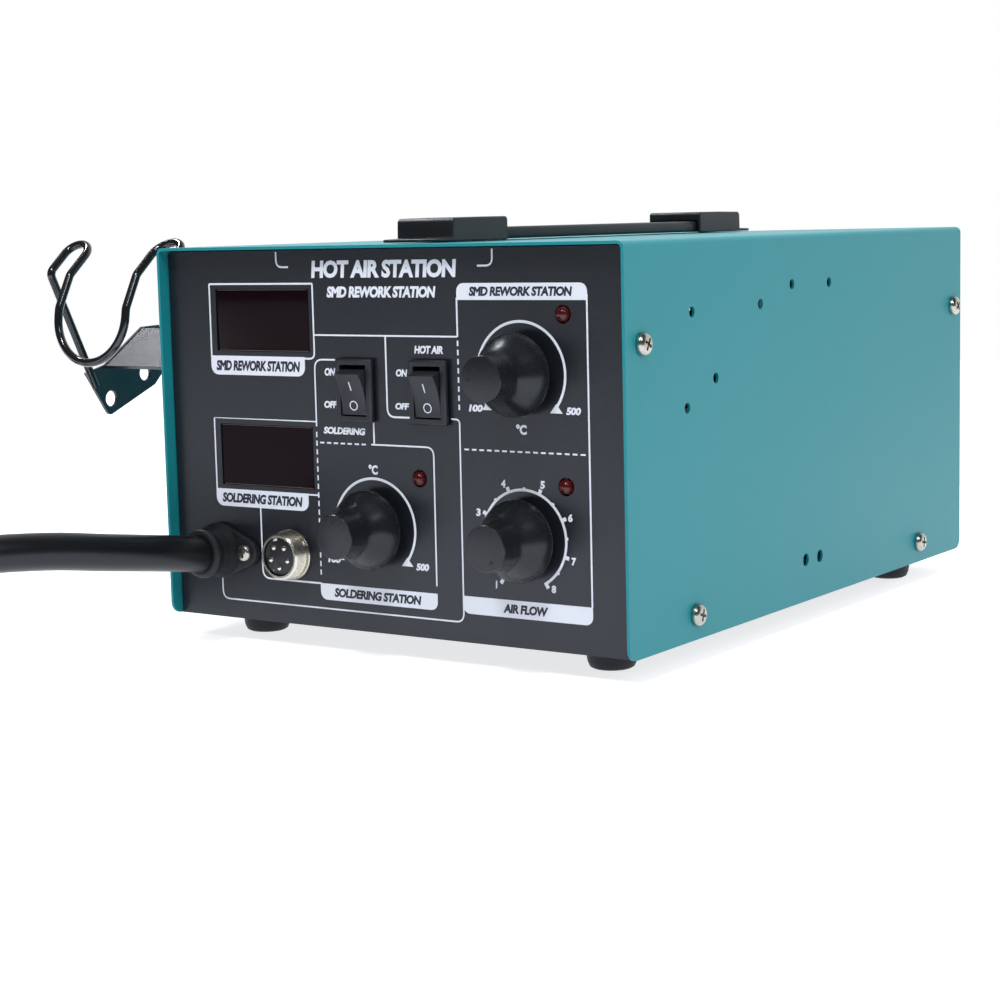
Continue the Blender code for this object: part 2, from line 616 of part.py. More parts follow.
def air_pump():
    """Diaphragm pump with its outlet at the front."""
    low = FOOT_H + SHEET + GAP
    pump = add_piece("air_pump", block((0.004, 0.078), (0.140, 0.212), (low, low + 0.058), 0.004), BLACK_PLASTIC)
    x, z = PUMP_OUTLET
    reshape(pump, [rod("Y", 0.128, 0.145, x, z, 0.0050)], "UNION", "pump_outlet")


def air_tube():
    """Silicone tube from the pump's outlet to the gland's spigot."""
    x, z = PUMP_OUTLET
    route = [
        (x, 0.1272, z), (x, 0.1150, z), (0.0120, 0.0900, 0.0500), (-0.0250, 0.0680, 0.0440), (-0.0600, 0.0520, 0.0360),
        (GLAND[0], 0.0340, GLAND[1] + 0.0005), (GLAND[0], 0.0220, GLAND[1]), (GLAND[0], 0.0138, GLAND[1]),
    ]
    add_tube("air_tube", smooth_curve(route, 0.010), 0.0055, CERAMIC, 2)


def mains_inlet():
    """Mains inlet with its flange on the rear panel, and the fuse holder beside it."""
    x, z = INLET
    face = REAR_Y + GAP
    inlet = add_piece(
        "mains_inlet", prism(rounded_outline(INLET, 0.050, 0.024, 0.004), "Y", face, face + 0.0026), BLACK_PLASTIC
    )
    body = block((x - 0.0135, x + 0.0135), (REAR_Y - 0.018, face + 0.0010), (z - 0.0098, z + 0.0098))
    reshape(inlet, [body], "UNION", "inlet_body")
    hollow = block((x - 0.0118, x + 0.0118), (REAR_Y - 0.0150, face + 0.010), (z - 0.0080, z + 0.0080))
    reshape(inlet, [hollow], "DIFFERENCE", "inlet_hollow")
    holder = [
        (REAR_Y - 0.030, 0), (REAR_Y - 0.030, 0.0060), (face, 0.0060), (face, 0.0082), (face + 0.0022, 0.0078),
        (face + 0.0028, 0.0070), (face + 0.0028, 0),
    ]
    add_piece("fuse_holder", turned(holder, "Y", (FUSE[0], 0, FUSE[1]), 24), BLACK_PLASTIC)


# ---- Wire holder -------------------------------------------------------------------------------------------
# The bracket's sloping web, seen from the side, as (y, z) at its lower and upper edges.
WEB_LOW = (0.0350, FOOT_H + 0.0837)
WEB_HIGH = (0.0557, FOOT_H + 0.0968)


def holder_bracket():
    """Sheet bracket: a flange on the case, a sloping web, and a matching flange at the outer side."""
    z = FOOT_H
    flange = [
        (0.0245, z + 0.0816), *arc((0.0367, z + 0.0672), 0.0020, pi * 1.18, pi * 1.62, 3), (0.0614, z + 0.0748),
        (0.0690, z + 0.0820), (0.0650, z + 0.0975), (WEB_HIGH[0], WEB_HIGH[1] + 0.0004), (WEB_LOW[0], WEB_LOW[1] + 0.0004),
    ]
    low, high = HOLDER_OUT, HOLDER_OUT + HOLDER_SHEET
    bracket = add_piece("holder_bracket", prism(flange, "X", low, high), BLACK_SHEET)
    along = Vector(WEB_HIGH) - Vector(WEB_LOW)
    down = Vector((along.y, -along.x)).normalized() * HOLDER_SHEET
    a, b = Vector(WEB_LOW), Vector(WEB_HIGH)
    web = prism([a, b, b + down, a + down], "X", HOLDER_OUT + 0.0005, HOLDER_IN - 0.0005)
    wall = prism(flange, "X", HOLDER_IN - HOLDER_SHEET, HOLDER_IN)
    reshape(bracket, [web], "UNION", "holder_web")
    reshape(bracket, [wall], "UNION", "holder_wall_flange")
    holes = [rod("X", HOLDER_OUT - 0.002, HOLDER_IN + 0.001, y, z, 0.0030, 16) for y, z in HOLDER_HOLES]
    reshape(bracket, holes, "DIFFERENCE", "holder_holes")
    for (y, z), word in zip(HOLDER_HOLES, ("rear", "front")):
        pan_screw(f"holder_screw_{word}", "X", HOLDER_IN - HOLDER_SHEET, -1, y, z, shank=0.006)


def holder_wire():
    """One bent wire: a leg up from each flange, a loop, and a U between them that the handpiece rests in."""
    foot, knee = (0.0275, FOOT_H + 0.0765), (0.0070, FOOT_H + 0.1193)
    inner_knee, elbow, cradle_top = (0.0055, FOOT_H + 0.1185), (-0.0006, FOOT_H + 0.1070), (-0.0011, FOOT_H + 0.1040)
    rise = Vector((0.0121, 0.0102)).normalized()
    loop_r = (LEG_REACH - CRADLE_REACH) / 2
    loop_mid = (LEG_REACH + CRADLE_REACH) / 2
    straight = 0.0103
    half = bent_line(
        [(LEG_REACH, *foot), (LEG_REACH, *knee), (LEG_REACH, *(Vector(knee) + rise * straight))], 0.0030
    )
    loop_start, loop_end = Vector(knee) + rise * straight, Vector(inner_knee) + rise * straight
    for across, up in arc((0, 0), loop_r, 0, pi, 8)[1:-1]:
        y, z = loop_start.lerp(loop_end, (loop_r - across) / (2 * loop_r)) + rise * up
        half.append(Vector((loop_mid + across, y, z)))
    half += bent_line([(CRADLE_REACH, *spot) for spot in (loop_end, inner_knee, elbow, cradle_top)], 0.0040)
    lean = (Vector(elbow) - Vector(cradle_top)).normalized()
    cradle = []
    for across, up in arc((0, 0), CRADLE_REACH, 0, -pi, 16)[1:-1]:
        y, z = Vector(cradle_top) + lean * up
        cradle.append(Vector((across, y, z)))
    mirrored = [Vector((-p.x, p.y, p.z)) for p in reversed(half)]
    line = [Vector((HOLDER_MID + p.x, p.y, p.z)) for p in half + cradle + mirrored]
    add_tube("holder_wire", line, WIRE_R, BLACK_WIRE, 2)


# ---- Air hose and handpiece --------------------------------------------------------------------------------
# The hose's free run, from the gland's face to where it lies on the coil.
HOSE_ROUTE = (
    (-0.0723, -0.0096, 0.0316), (-0.0728, -0.0185, 0.0331), (-0.0742, -0.0290, 0.0346), (-0.0785, -0.0460, 0.0369),
    (-0.0862, -0.0660, 0.0395), (-0.0990, -0.0885, 0.0400), (-0.1135, -0.1080, 0.0366), (-0.1305, -0.1234, 0.0282),
    (-0.1487, -0.1360, 0.0200),
)


def coil_point(angle):
    """Centre of the hose in its coil, which winds outward as the angle falls."""
    radius = COIL_START_R + COIL_PITCH * (COIL_START - angle) / (2 * pi)
    return Vector((COIL_CENTRE[0] + radius * cos(angle), COIL_CENTRE[1] + radius * sin(angle), HOSE_R))


def tail_point(reach):
    """Centre of the hose past its coil: straight, then round to face the rear, as it climbs to the handpiece's axis."""
    start, way = coil_point(COIL_END), Vector((sin(COIL_END), -cos(COIL_END), 0))
    out = Vector((cos(COIL_END), sin(COIL_END), 0))
    share = reach / TAIL_LENGTH
    rise = Vector((0, 0, (RING_R - HOSE_R) * share * share * (3 - 2 * share)))
    if reach < TAIL_STRAIGHT:
        return start + way * reach + rise
    angle = COIL_END - (reach - TAIL_STRAIGHT) / TAIL_BEND_R
    turn = Vector((cos(angle), sin(angle), 0)) - out
    return start + way * TAIL_STRAIGHT + turn * TAIL_BEND_R + rise


def off_centre(spot):
    """Distance from the coil's centre, seen from above."""
    return hypot(spot.x - COIL_CENTRE[0], spot.y - COIL_CENTRE[1])


def air_hose():
    """The hose's run from the gland, its coil, and the short run from the coil to the handpiece."""
    add_tube("hose_lead", smooth_curve(HOSE_ROUTE, 0.012), HOSE_R, BLACK_RUBBER, 3)
    outer = off_centre(coil_point(COIL_END)) + HOSE_R
    inner = COIL_START_R - HOSE_R
    low, high = 0.0, 2 * HOSE_R
    ease = 0.0030
    ring = [
        (low, inner + ease), (low, outer - ease), (low + ease, outer), (high - ease, outer), (high, outer - ease),
        (high, inner + ease), (high - ease, inner), (low + ease, inner),
    ]
    add_piece("hose_coil", turned(ring, "Z", (*COIL_CENTRE, 0), 40, ring=True), BLACK_RUBBER)
    clear = TAIL_STRAIGHT
    while off_centre(tail_point(clear)) < outer + HOSE_R + 2 * GAP:
        clear += GAP
    steps = 6
    tail = [tail_point(clear + (TAIL_LENGTH - 2 * GAP - clear) * i / steps) for i in range(steps + 1)]
    add_tube("hose_tail", tail, HOSE_R, BLACK_RUBBER, 3)


def handpiece():
    """Hot air handpiece: rubber boot, hollow grip, steel barrel and the heater core inside it."""
    base = tail_point(TAIL_LENGTH)
    shell_end = BOOT_LENGTH + GAP + SHELL_LENGTH
    boot = [
        (0, 0), (0, 0.0074), (0.004, 0.0080), (BOOT_LENGTH - 0.004, 0.0112), (BOOT_LENGTH, 0.0112), (BOOT_LENGTH, 0),
    ]
    s = BOOT_LENGTH + GAP
    shell = [
        (s, 0), (s, 0.0125), (s + 0.003, 0.0150), (s + 0.006, RING_R), (s + 0.012, RING_R), (s + 0.016, 0.0150),
        (s + 0.040, 0.0140), (s + 0.070, GRIP_R), (shell_end - 0.020, 0.0156), (shell_end - 0.016, RING_R),
        (shell_end - 0.003, RING_R), (shell_end, 0.0155), (shell_end, 0.0125), (shell_end - 0.030, 0.0125),
        (shell_end - 0.030, 0),
    ]
    tip = shell_end + BARREL_OUT
    barrel = [
        (shell_end - 0.024, BARREL_R), (tip - 0.002, BARREL_R), (tip, BARREL_R - 0.0006), (tip, BARREL_R - 0.0018),
        (shell_end - 0.024, BARREL_R - 0.0012),
    ]
    core = [
        (shell_end - 0.022, 0), (shell_end - 0.022, 0.0078), (tip - 0.013, 0.0078), (tip - 0.013, 0.0055), (tip - 0.012, 0),
    ]
    pieces = (
        ("handpiece_boot", boot, BLACK_RUBBER, False), ("handpiece_grip", shell, BLACK_PLASTIC, False),
        ("heater_barrel", barrel, STEEL, True), ("heater_core", core, CERAMIC, False),
    )
    for name, profile, material, ring in pieces:
        piece = add_piece(name, turned(profile, "Y", (0, 0, 0), 28, ring=ring), material)
        piece.location = base


# ---- The whole station -------------------------------------------------------------------------------------
top_cover()
chassis_tray()
cover_screws()
feet()
handle()
for kind, at in (("hot_air", HOT_AIR_WINDOW), ("soldering", SOLDER_WINDOW)):
    display(kind, at)
control_board()
for kind, at in (("hot_air_temp", HOT_AIR_KNOB), ("air_flow", AIR_FLOW_KNOB), ("soldering_temp", SOLDER_KNOB)):
    knob_set(kind, at)
for kind, at in (("hot_air", HOT_AIR_SWITCH), ("soldering", SOLDER_SWITCH)):
    switch(kind, at)
lamps()
round_socket()
hose_gland()
transformer()
air_pump()
air_tube()
mains_inlet()
holder_bracket()
holder_wire()
air_hose()
handpiece()
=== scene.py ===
"""Looks of the hot air station: camera, light, the hose, and a finished piece or a finish for each CAD node.

New pieces are modelled in millimetres from the middle of the cover's lower front edge: x runs across the front
panel, y runs to the rear, and z is the height above that edge."""

from math import atan2, cos, pi, radians, sin

import bmesh
import bpy
from mathutils import Matrix, Vector


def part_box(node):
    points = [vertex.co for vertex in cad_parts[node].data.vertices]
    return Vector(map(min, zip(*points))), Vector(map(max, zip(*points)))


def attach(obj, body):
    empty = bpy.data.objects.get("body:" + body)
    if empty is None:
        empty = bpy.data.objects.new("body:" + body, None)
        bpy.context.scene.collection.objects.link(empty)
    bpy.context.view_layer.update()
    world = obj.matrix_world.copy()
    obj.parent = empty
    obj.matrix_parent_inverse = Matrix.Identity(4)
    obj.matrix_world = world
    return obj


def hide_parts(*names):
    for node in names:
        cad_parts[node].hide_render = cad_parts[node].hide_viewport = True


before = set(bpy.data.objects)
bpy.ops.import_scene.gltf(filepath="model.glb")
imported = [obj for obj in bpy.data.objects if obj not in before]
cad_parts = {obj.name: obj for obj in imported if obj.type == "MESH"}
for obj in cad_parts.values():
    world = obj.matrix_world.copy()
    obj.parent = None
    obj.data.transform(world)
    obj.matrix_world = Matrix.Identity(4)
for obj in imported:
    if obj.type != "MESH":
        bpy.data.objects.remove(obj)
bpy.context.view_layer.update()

MM = 0.001
COVER_LOW, COVER_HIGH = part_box("top_cover")
CORNER = Vector(((COVER_LOW.x + COVER_HIGH.x) / 2, COVER_LOW.y, COVER_LOW.z))
UNIT = {"X": Vector((1, 0, 0)), "Y": Vector((0, 1, 0)), "Z": Vector((0, 0, 1))}
FOOT_H = COVER_LOW.z / MM
CASE_W = ((COVER_HIGH - COVER_LOW) / MM).x
PANEL_Y = 4.4
MERGE_MM = 0.0005
SMOOTH_ANGLE = 32


def centre_of(node):
    """Middle of a CAD node, in millimetres from the corner that new pieces are measured from."""
    low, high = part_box(node)
    return ((low + high) / 2 - CORNER) / MM


# ---- Finishes ----------------------------------------------------------------------------------------------
class Value:
    """A shader socket that can be used in arithmetic."""

    def __init__(self, recipe, socket):
        self.recipe, self.socket = recipe, socket

    def _combine(self, operation, *terms):
        return self.recipe.node("ShaderNodeMath", {"operation": operation}, dict(enumerate(terms)))

    def __add__(self, other):
        return self._combine("ADD", self, other)

    def __mul__(self, other):
        return self._combine("MULTIPLY", self, other)

    def __sub__(self, other):
        return self._combine("SUBTRACT", self, other)

    def __rsub__(self, other):
        return self._combine("SUBTRACT", other, self)

    def over(self, edge):
        return self._combine("GREATER_THAN", self, edge)

    __radd__, __rmul__ = __add__, __mul__


class Recipe:
    """One material and its nodes."""

    def __init__(self, name):
        self.material = bpy.data.materials.new(name)
        self.material.use_nodes = True
        self.tree = self.material.node_tree
        self.shader = self.tree.nodes["Principled BSDF"]

    def _feed(self, socket, value):
        if isinstance(value, Value):
            self.tree.links.new(value.socket, socket)
        else:
            socket.default_value = (*value, 1.0) if isinstance(value, tuple) and len(value) == 3 else value

    def node(self, kind, settings, inputs, output=0):
        made = self.tree.nodes.new(kind)
        for name, value in settings.items():
            setattr(made, name, value)
        for name, value in inputs.items():
            self._feed(made.inputs[name], value)
        return Value(self, made.outputs[output])

    def place(self):
        """Object coordinates."""
        return self.node("ShaderNodeTexCoord", {}, {}, 3)

    def noise(self, scale, detail=3.0, rough=0.55):
        settings = {"Vector": self.place(), "Scale": scale, "Detail": detail, "Roughness": rough}
        return self.node("ShaderNodeTexNoise", {}, settings)

    def blend(self, share, first, second):
        """From the first colour to the second as the share goes from 0 to 1."""
        return self.node(
            "ShaderNodeMix", {"data_type": "RGBA", "clamp_factor": True}, {0: share, 6: first, 7: second}, 2
        )

    def bump(self, height, depth):
        return self.node("ShaderNodeBump", {}, {"Strength": 1.0, "Distance": depth, "Height": height})

    def finish(self, **inputs):
        for name, value in inputs.items():
            self._feed(self.shader.inputs[name.replace("_", " ")], value)
        return self.material


# Tint of the gloss on paint and plastic.
SHEEN = (0.84, 0.89, 1.0)


def painted(name, colour, shade, roughness, peel, gloss=0.5):
    """Sheet metal paint: slow changes of colour, a fine orange peel and worn-in gloss."""
    r = Recipe(name)
    cloud = r.noise(14.0, 2.0)
    fine = r.noise(1500.0, 2.0, 0.5)
    return r.finish(
        Base_Color=r.blend(cloud, colour, shade),
        Roughness=roughness + 0.10 * (cloud - 0.5) + 0.06 * (fine - 0.5),
        Normal=r.bump(fine, peel),
        Specular_IOR_Level=gloss,
        Specular_Tint=SHEEN,
    )


def moulded(name, colour, roughness, grain=0.00002, scale=2600.0, speck=0.004):
    """Moulded plastic or rubber with a fine eroded grain."""
    r = Recipe(name)
    fine = r.noise(scale, 2.0, 0.6)
    cloud = r.noise(60.0, 3.0)
    lighter = tuple(c + speck for c in colour)
    return r.finish(
        Base_Color=r.blend(cloud, colour, lighter),
        Roughness=roughness + 0.12 * (cloud - 0.5) + 0.08 * (fine - 0.5),
        Normal=r.bump(fine, grain),
        Specular_Tint=SHEEN,
    )


def plated(name, colour, roughness, scale=700.0):
    """Bare or plated metal with fine tool marks."""
    r = Recipe(name)
    marks = r.noise(scale, 4.0, 0.6)
    cloud = r.noise(90.0, 3.0)
    darker = tuple(c * 0.82 for c in colour)
    return r.finish(
        Base_Color=r.blend(cloud, colour, darker),
        Metallic=1.0,
        Roughness=roughness + 0.14 * (marks - 0.5) + 0.08 * (cloud - 0.5),
        Normal=r.bump(marks, 0.000015),
    )


def clear_plastic(name, colour, roughness, gloss):
    """Dark tinted plastic with a hard gloss and faint dust."""
    r = Recipe(name)
    dust = r.noise(420.0, 5.0, 0.7)
    return r.finish(
        Base_Color=r.blend(dust, colour, tuple(c * 1.25 for c in colour)),
        Roughness=roughness + 0.06 * dust,
        Specular_IOR_Level=gloss,
    )


def printed(name, colour):
    """Screen print ink, a little uneven at its edges."""
    r = Recipe(name)
    ink = r.noise(3200.0, 3.0, 0.6)
    return r.finish(
        Base_Color=r.blend(ink, colour, tuple(c * 0.9 for c in colour)),
        Roughness=0.45 + 0.1 * ink,
        Normal=r.bump(ink, 0.00001),
    )


def circuit_board():
    """Green solder resist over copper tracks."""
    r = Recipe("board_green")
    cells = {"Vector": r.place(), "Scale": 160.0}
    track = r.node("ShaderNodeTexVoronoi", {"feature": "DISTANCE_TO_EDGE"}, cells)
    line = 1.0 - track.over(0.06)
    return r.finish(
        Base_Color=r.blend(line, (0.012, 0.085, 0.035), (0.030, 0.180, 0.070)), Roughness=0.30 + 0.1 * line
    )


TEAL = painted("teal_powder_coat", (0.008, 0.205, 0.240), (0.011, 0.220, 0.258), 0.40, 0.00004, 0.34)
PANEL_BLACK = painted("black_powder_coat", (0.0065, 0.0082, 0.0112), (0.0082, 0.01, 0.0135), 0.32, 0.00003, 0.6)
BRACKET_BLACK = painted("black_bracket_paint", (0.012, 0.013, 0.016), (0.016, 0.017, 0.021), 0.26, 3e-5, 0.8)
WIRE_BLACK = painted("black_wire_enamel", (0.006, 0.006, 0.006), (0.009, 0.009, 0.01), 0.14, 0.00001, 0.9)
KNOB_BLACK = moulded("knob_black", (0.0060, 0.0068, 0.0085), 0.27, 0.000008, speck=0.002)
# Near-black disc on each knob's face: painted shade of the pointer dimple's hollow.
DIMPLE_PAINTED_SHADE = moulded("dimple_painted_shade", (0.0015, 0.0015, 0.0020), 0.6)
SWITCH_BLACK = moulded("switch_black", (0.0125, 0.0140, 0.0178), 0.40)
PLASTIC_BLACK = moulded("plastic_black", (0.0085, 0.0095, 0.0110), 0.42)
RUBBER = moulded("rubber_black", (0.0032, 0.0036, 0.0042), 0.55, 0.00004, 1700.0, 0.001)
HOSE_RUBBER = moulded("hose_black", (0.0028, 0.0034, 0.0040), 0.34, 0.00003, 1300.0, 0.0012)
STRAP_BLACK = moulded("strap_black", (0.0070, 0.0090, 0.0098), 0.44, 0.00006, 900.0)
NICKEL = plated("bright_nickel", (0.74, 0.71, 0.63), 0.22)
SCREW_NICKEL = plated("screw_nickel", (0.52, 0.51, 0.47), 0.24)
STEEL = plated("brushed_steel", (0.58, 0.585, 0.59), 0.30, 500.0)
BRASS = plated("inlet_brass", (0.72, 0.56, 0.28), 0.26)
SMOKED = clear_plastic("smoked_window", (0.0050, 0.0016, 0.0034), 0.10, 0.06)
# Brownish strips in the window openings: painted highlight where the panel opening's edges catch the light.
WINDOW_EDGE_HIGHLIGHT = clear_plastic("window_edge_painted_highlight", (0.085, 0.055, 0.050), 0.30, 0.5)
RED_LENS = clear_plastic("red_lens", (0.048, 0.0020, 0.0030), 0.16, 0.5)
WHITE_INK = printed("pale_ink", (0.72, 0.76, 0.86))
DARK_INK = printed("dark_ink", (0.012, 0.014, 0.035))
CERAMIC = moulded("ceramic_white", (0.68, 0.65, 0.60), 0.55, 0.00004, 800.0, 0.03)
SILICONE = moulded("silicone_tube", (0.55, 0.54, 0.50), 0.40, 0.00002, 900.0, 0.02)
BOARD = circuit_board()


# ---- Modelling ---------------------------------------------------------------------------------------------
def block(x, y, z, bevel=0.0, segments=3):
    """A box between pairs of limits, with its edges rounded if asked."""
    bm = bmesh.new()
    bmesh.ops.create_cube(bm, size=1.0)
    bmesh.ops.scale(bm, verts=bm.verts, vec=(x[1] - x[0], y[1] - y[0], z[1] - z[0]))
    bmesh.ops.translate(bm, verts=bm.verts, vec=((x[0] + x[1]) / 2, (y[0] + y[1]) / 2, (z[0] + z[1]) / 2))
    return round_edges(bm, bevel, segments)


def round_edges(bm, bevel, segments=3, angle=30):
    """Rounds every edge that is sharper than an angle."""
    if bevel:
        bm.normal_update()
        sharp = [e for e in bm.edges if len(e.link_faces) == 2 and e.calc_face_angle(0) > radians(angle)]
        bmesh.ops.bevel(
            bm, geom=sharp, offset=bevel, segments=segments, profile=0.5, affect="EDGES", material=-1,
            clamp_overlap=True,
        )
    return bm


def spot_on(axis, along, a, b):
    """A point at a distance along one axis, with its two other coordinates in order."""
    return {"X": (along, a, b), "Y": (a, along, b), "Z": (a, b, along)}[axis]


def prism(outline, axis, low, high, bevel=0.0, segments=2):
    """A flat outline pushed along an axis."""
    bm = bmesh.new()
    face = bm.faces.new([bm.verts.new(spot_on(axis, low, a, b)) for a, b in outline])
    pushed = bmesh.ops.extrude_face_region(bm, geom=[face])
    moved = [v for v in pushed["geom"] if isinstance(v, bmesh.types.BMVert)]
    bmesh.ops.translate(bm, verts=moved, vec=UNIT[axis] * (high - low))
    return round_edges(bm, bevel, segments, 50)


def turned(profile, axis, centre, steps=64, ring=False):
    """A profile of (distance along the axis, radius) pairs, turned all the way round."""
    bm = bmesh.new()
    side = {"X": "Z", "Y": "X", "Z": "X"}[axis]
    points = [Vector(centre) + UNIT[axis] * s + UNIT[side] * r for s, r in profile]
    verts = [bm.verts.new(p) for p in points]
    for a, b in zip(verts, verts[1:] + verts[:1] if ring else verts[1:]):
        bm.edges.new((a, b))
    whole = bm.verts[:] + bm.edges[:]
    bmesh.ops.spin(bm, geom=whole, cent=centre, axis=UNIT[axis], angle=2 * pi, steps=steps, use_merge=True)
    bmesh.ops.remove_doubles(bm, verts=bm.verts, dist=MERGE_MM)
    return bm


def arc(centre, radius, start, end, steps):
    """Points on an arc, with its angles in degrees."""
    turns = [radians(start + (end - start) * i / steps) for i in range(steps + 1)]
    return [(centre[0] + radius * cos(t), centre[1] + radius * sin(t)) for t in turns]


def rounded_outline(x, z, radius, steps=5):
    """A rectangle with round corners; radius is one number, or one for each corner from the upper right."""
    radii = radius if isinstance(radius, tuple) else (radius,) * 4
    corners = ((x[1], z[1], -1, -1), (x[0], z[1], 1, -1), (x[0], z[0], 1, 1), (x[1], z[0], -1, 1))
    outline = []
    for quarter, ((a, b, inx, inz), r) in enumerate(zip(corners, radii)):
        start = 90 * quarter
        outline += arc((a + inx * r, b + inz * r), r, start, start + 90, steps) if r else [(a, b)]
    return outline


def bent(corners, radius, steps=5):
    """A line through corners, with each inner corner turned into a bend."""
    corners = [Vector(p) for p in corners]
    line = [corners[0]]
    for before, corner, after in zip(corners, corners[1:], corners[2:]):
        into, out = before - corner, after - corner
        facing = into.normalized().dot(out.normalized())
        opening = ((1 - facing) / (1 + facing + 1e-9)) ** 0.5
        reach = min(radius / max(0.05, opening), into.length * 0.48, out.length * 0.48)
        a, b = corner + into.normalized() * reach, corner + out.normalized() * reach
        shares = [i / steps for i in range(steps + 1)]
        line += [a * (1 - t) ** 2 + corner * 2 * t * (1 - t) + b * t**2 for t in shares]
    return line + [corners[-1]]


def softened(profile, radius, steps=3):
    """A turning profile whose corners are rounded."""
    return [tuple(p) for p in bent(profile, radius, steps)]


def rounded_path(route, steps):
    """A smooth curve through every point of a short route."""
    ends = [2 * route[0] - route[1], *route, 2 * route[-1] - route[-2]]
    line = []
    for p0, p1, p2, p3 in zip(ends, ends[1:], ends[2:], ends[3:]):
        for t in (i / steps for i in range(steps)):
            line.append(
                (2 * p1 + (p2 - p0) * t + (2 * p0 - 5 * p1 + 4 * p2 - p3) * t**2
                 + (3 * p1 - p0 - 3 * p2 + p3) * t**3) / 2
            )
    return line + [route[-1]]


def smooth_curve(route, spacing):
    """Points at a steady spacing on a smooth curve through the route's points."""
    fine = rounded_path([Vector(p) for p in route], 20)
    kept, walked = [fine[0]], 0.0
    for a, b in zip(fine, fine[1:]):
        walked += (b - a).length
        if walked >= spacing:
            kept.append(b)
            walked = 0.0
    kept[-1] = fine[-1]
    return kept


def joined(*shapes):
    """Several shapes in one mesh."""
    whole = bmesh.new()
    for shape in shapes:
        part = bpy.data.meshes.new("shape")
        shape.to_mesh(part)
        shape.free()
        whole.from_mesh(part)
        bpy.data.meshes.remove(part)
    return whole


def settle(obj, material, body, nodes, smooth):
    """Gives a piece its finish and its body, and hides the CAD nodes it stands for."""
    obj.data.materials.clear()
    obj.data.materials.append(material)
    obj.data.shade_smooth()
    obj.data.set_sharp_from_angle(angle=radians(smooth))
    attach(obj, body)
    if nodes:
        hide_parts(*nodes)
    return obj


def stand(name, bm):
    """Puts a shape into the scene."""
    mesh = bpy.data.meshes.new(name)
    bm.to_mesh(mesh)
    bm.free()
    obj = bpy.data.objects.new(name, mesh)
    bpy.context.scene.collection.objects.link(obj)
    return obj


def add_piece(name, bm, material, body="case", nodes=(), smooth=SMOOTH_ANGLE, turn=None):
    """A finished piece from a shape in millimetres; turn moves it to its place on the case first."""
    if turn is not None:
        bmesh.ops.transform(bm, matrix=turn, verts=bm.verts)
    bmesh.ops.recalc_face_normals(bm, faces=bm.faces)
    to_metres = Matrix.Translation(CORNER) @ Matrix.Diagonal((MM, MM, MM, 1))
    bmesh.ops.transform(bm, matrix=to_metres, verts=bm.verts)
    return settle(stand(name, bm), material, body, nodes, smooth)


def refined(name, node, material, bevel, segments=2):
    """A copy of a CAD node with its triangles merged into clean faces and its edges softened."""
    bm = bmesh.new()
    bm.from_mesh(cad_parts[node].data)
    bmesh.ops.remove_doubles(bm, verts=bm.verts, dist=2e-6)
    bmesh.ops.dissolve_limit(bm, angle_limit=radians(0.5), verts=bm.verts, edges=bm.edges)
    obj = stand(name, bm)
    edge = obj.modifiers.new("softened_edges", "BEVEL")
    edge.width = bevel * MM
    edge.segments = segments
    edge.limit_method = "ANGLE"
    edge.angle_limit = radians(40)
    return settle(obj, material, "case", [node], SMOOTH_ANGLE)


def tube(name, points, radius, material, body="case", nodes=(), sides=4):
    """A round bar along a line of points, as a curve."""
    curve = bpy.data.curves.new(name, "CURVE")
    curve.dimensions = "3D"
    spline = curve.splines.new("POLY")
    spline.points.add(len(points) - 1)
    for knot, p in zip(spline.points, points):
        knot.co = (*(CORNER + Vector(p) * MM), 1.0)
    spline.use_smooth = True
    curve.bevel_depth = radius * MM
    curve.bevel_resolution = sides
    curve.use_fill_caps = True
    curve.materials.append(material)
    obj = bpy.data.objects.new(name, curve)
    bpy.context.scene.collection.objects.link(obj)
    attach(obj, body)
    if nodes:
        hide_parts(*nodes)
    return obj


# ---- Camera and air hose -----------------------------------------------------------------------------------
CAMERA_AT = Vector((425.93, -556.43, 134.28))
CAMERA_TURN, CAMERA_TILT, CAMERA_ROLL = 34.2428, 7.3345, -1.3684
CAMERA_LENS, CAMERA_SENSOR = 78.13, 36.0


def add_camera():
    lens = bpy.data.cameras.new("camera")
    lens.sensor_width = CAMERA_SENSOR
    lens.lens = CAMERA_LENS
    lens.clip_start, lens.clip_end = 0.01, 100.0
    camera = bpy.data.objects.new("camera", lens)
    aim = Matrix.Rotation(radians(CAMERA_TURN), 4, "Z") @ Matrix.Rotation(radians(90 - CAMERA_TILT), 4, "X")
    roll = Matrix.Rotation(radians(CAMERA_ROLL), 4, "Z")
    camera.matrix_world = Matrix.Translation(CORNER + CAMERA_AT * MM) @ aim @ roll
    bpy.context.scene.collection.objects.link(camera)
    bpy.context.scene.camera = camera


HOSE_R = 6.2
COIL_CENTRE = (-198.0, -106.0)
COIL_FIRST_R = 52.0
COIL_PITCH = 2 * HOSE_R
COIL_START, COIL_END = -57.0, -840.0
TAIL_STRAIGHT, TAIL_BEND_R, TAIL_BEND = 37.0, 52.0, 60.0
GRIP_RING_R = 16.5

# The hose's free run, from inside the gland's hub to where it reaches the coil.
HOSE_RUN = (
    (-72.3, -4.0, 23.1), (-72.35, -9.6, 23.8), (-72.8, -18.5, 25.3), (-74.2, -29.0, 26.8),
    (-78.5, -46.0, 29.1), (-86.2, -66.0, 31.7), (-99.0, -88.5, 32.2), (-113.5, -108.0, 28.8),
    (-130.5, -123.4, 20.4), (-148.7, -136.0, 12.2),
)
# Where it comes down into its inner turn, as (angle, height of its centre above the table).
HOSE_LANDING = ((-57.0, 15.0), (-75.0, 11.2), (-93.0, 8.5), (-111.0, 6.9), (-129.0, 6.3))


def coil_spot(angle, height=HOSE_R):
    """Centre of the hose in its coil, which winds outward as the angle falls."""
    radius = COIL_FIRST_R + COIL_PITCH * (COIL_START - angle) / 360
    t = radians(angle)
    return Vector((COIL_CENTRE[0] + radius * cos(t), COIL_CENTRE[1] + radius * sin(t), height - FOOT_H))


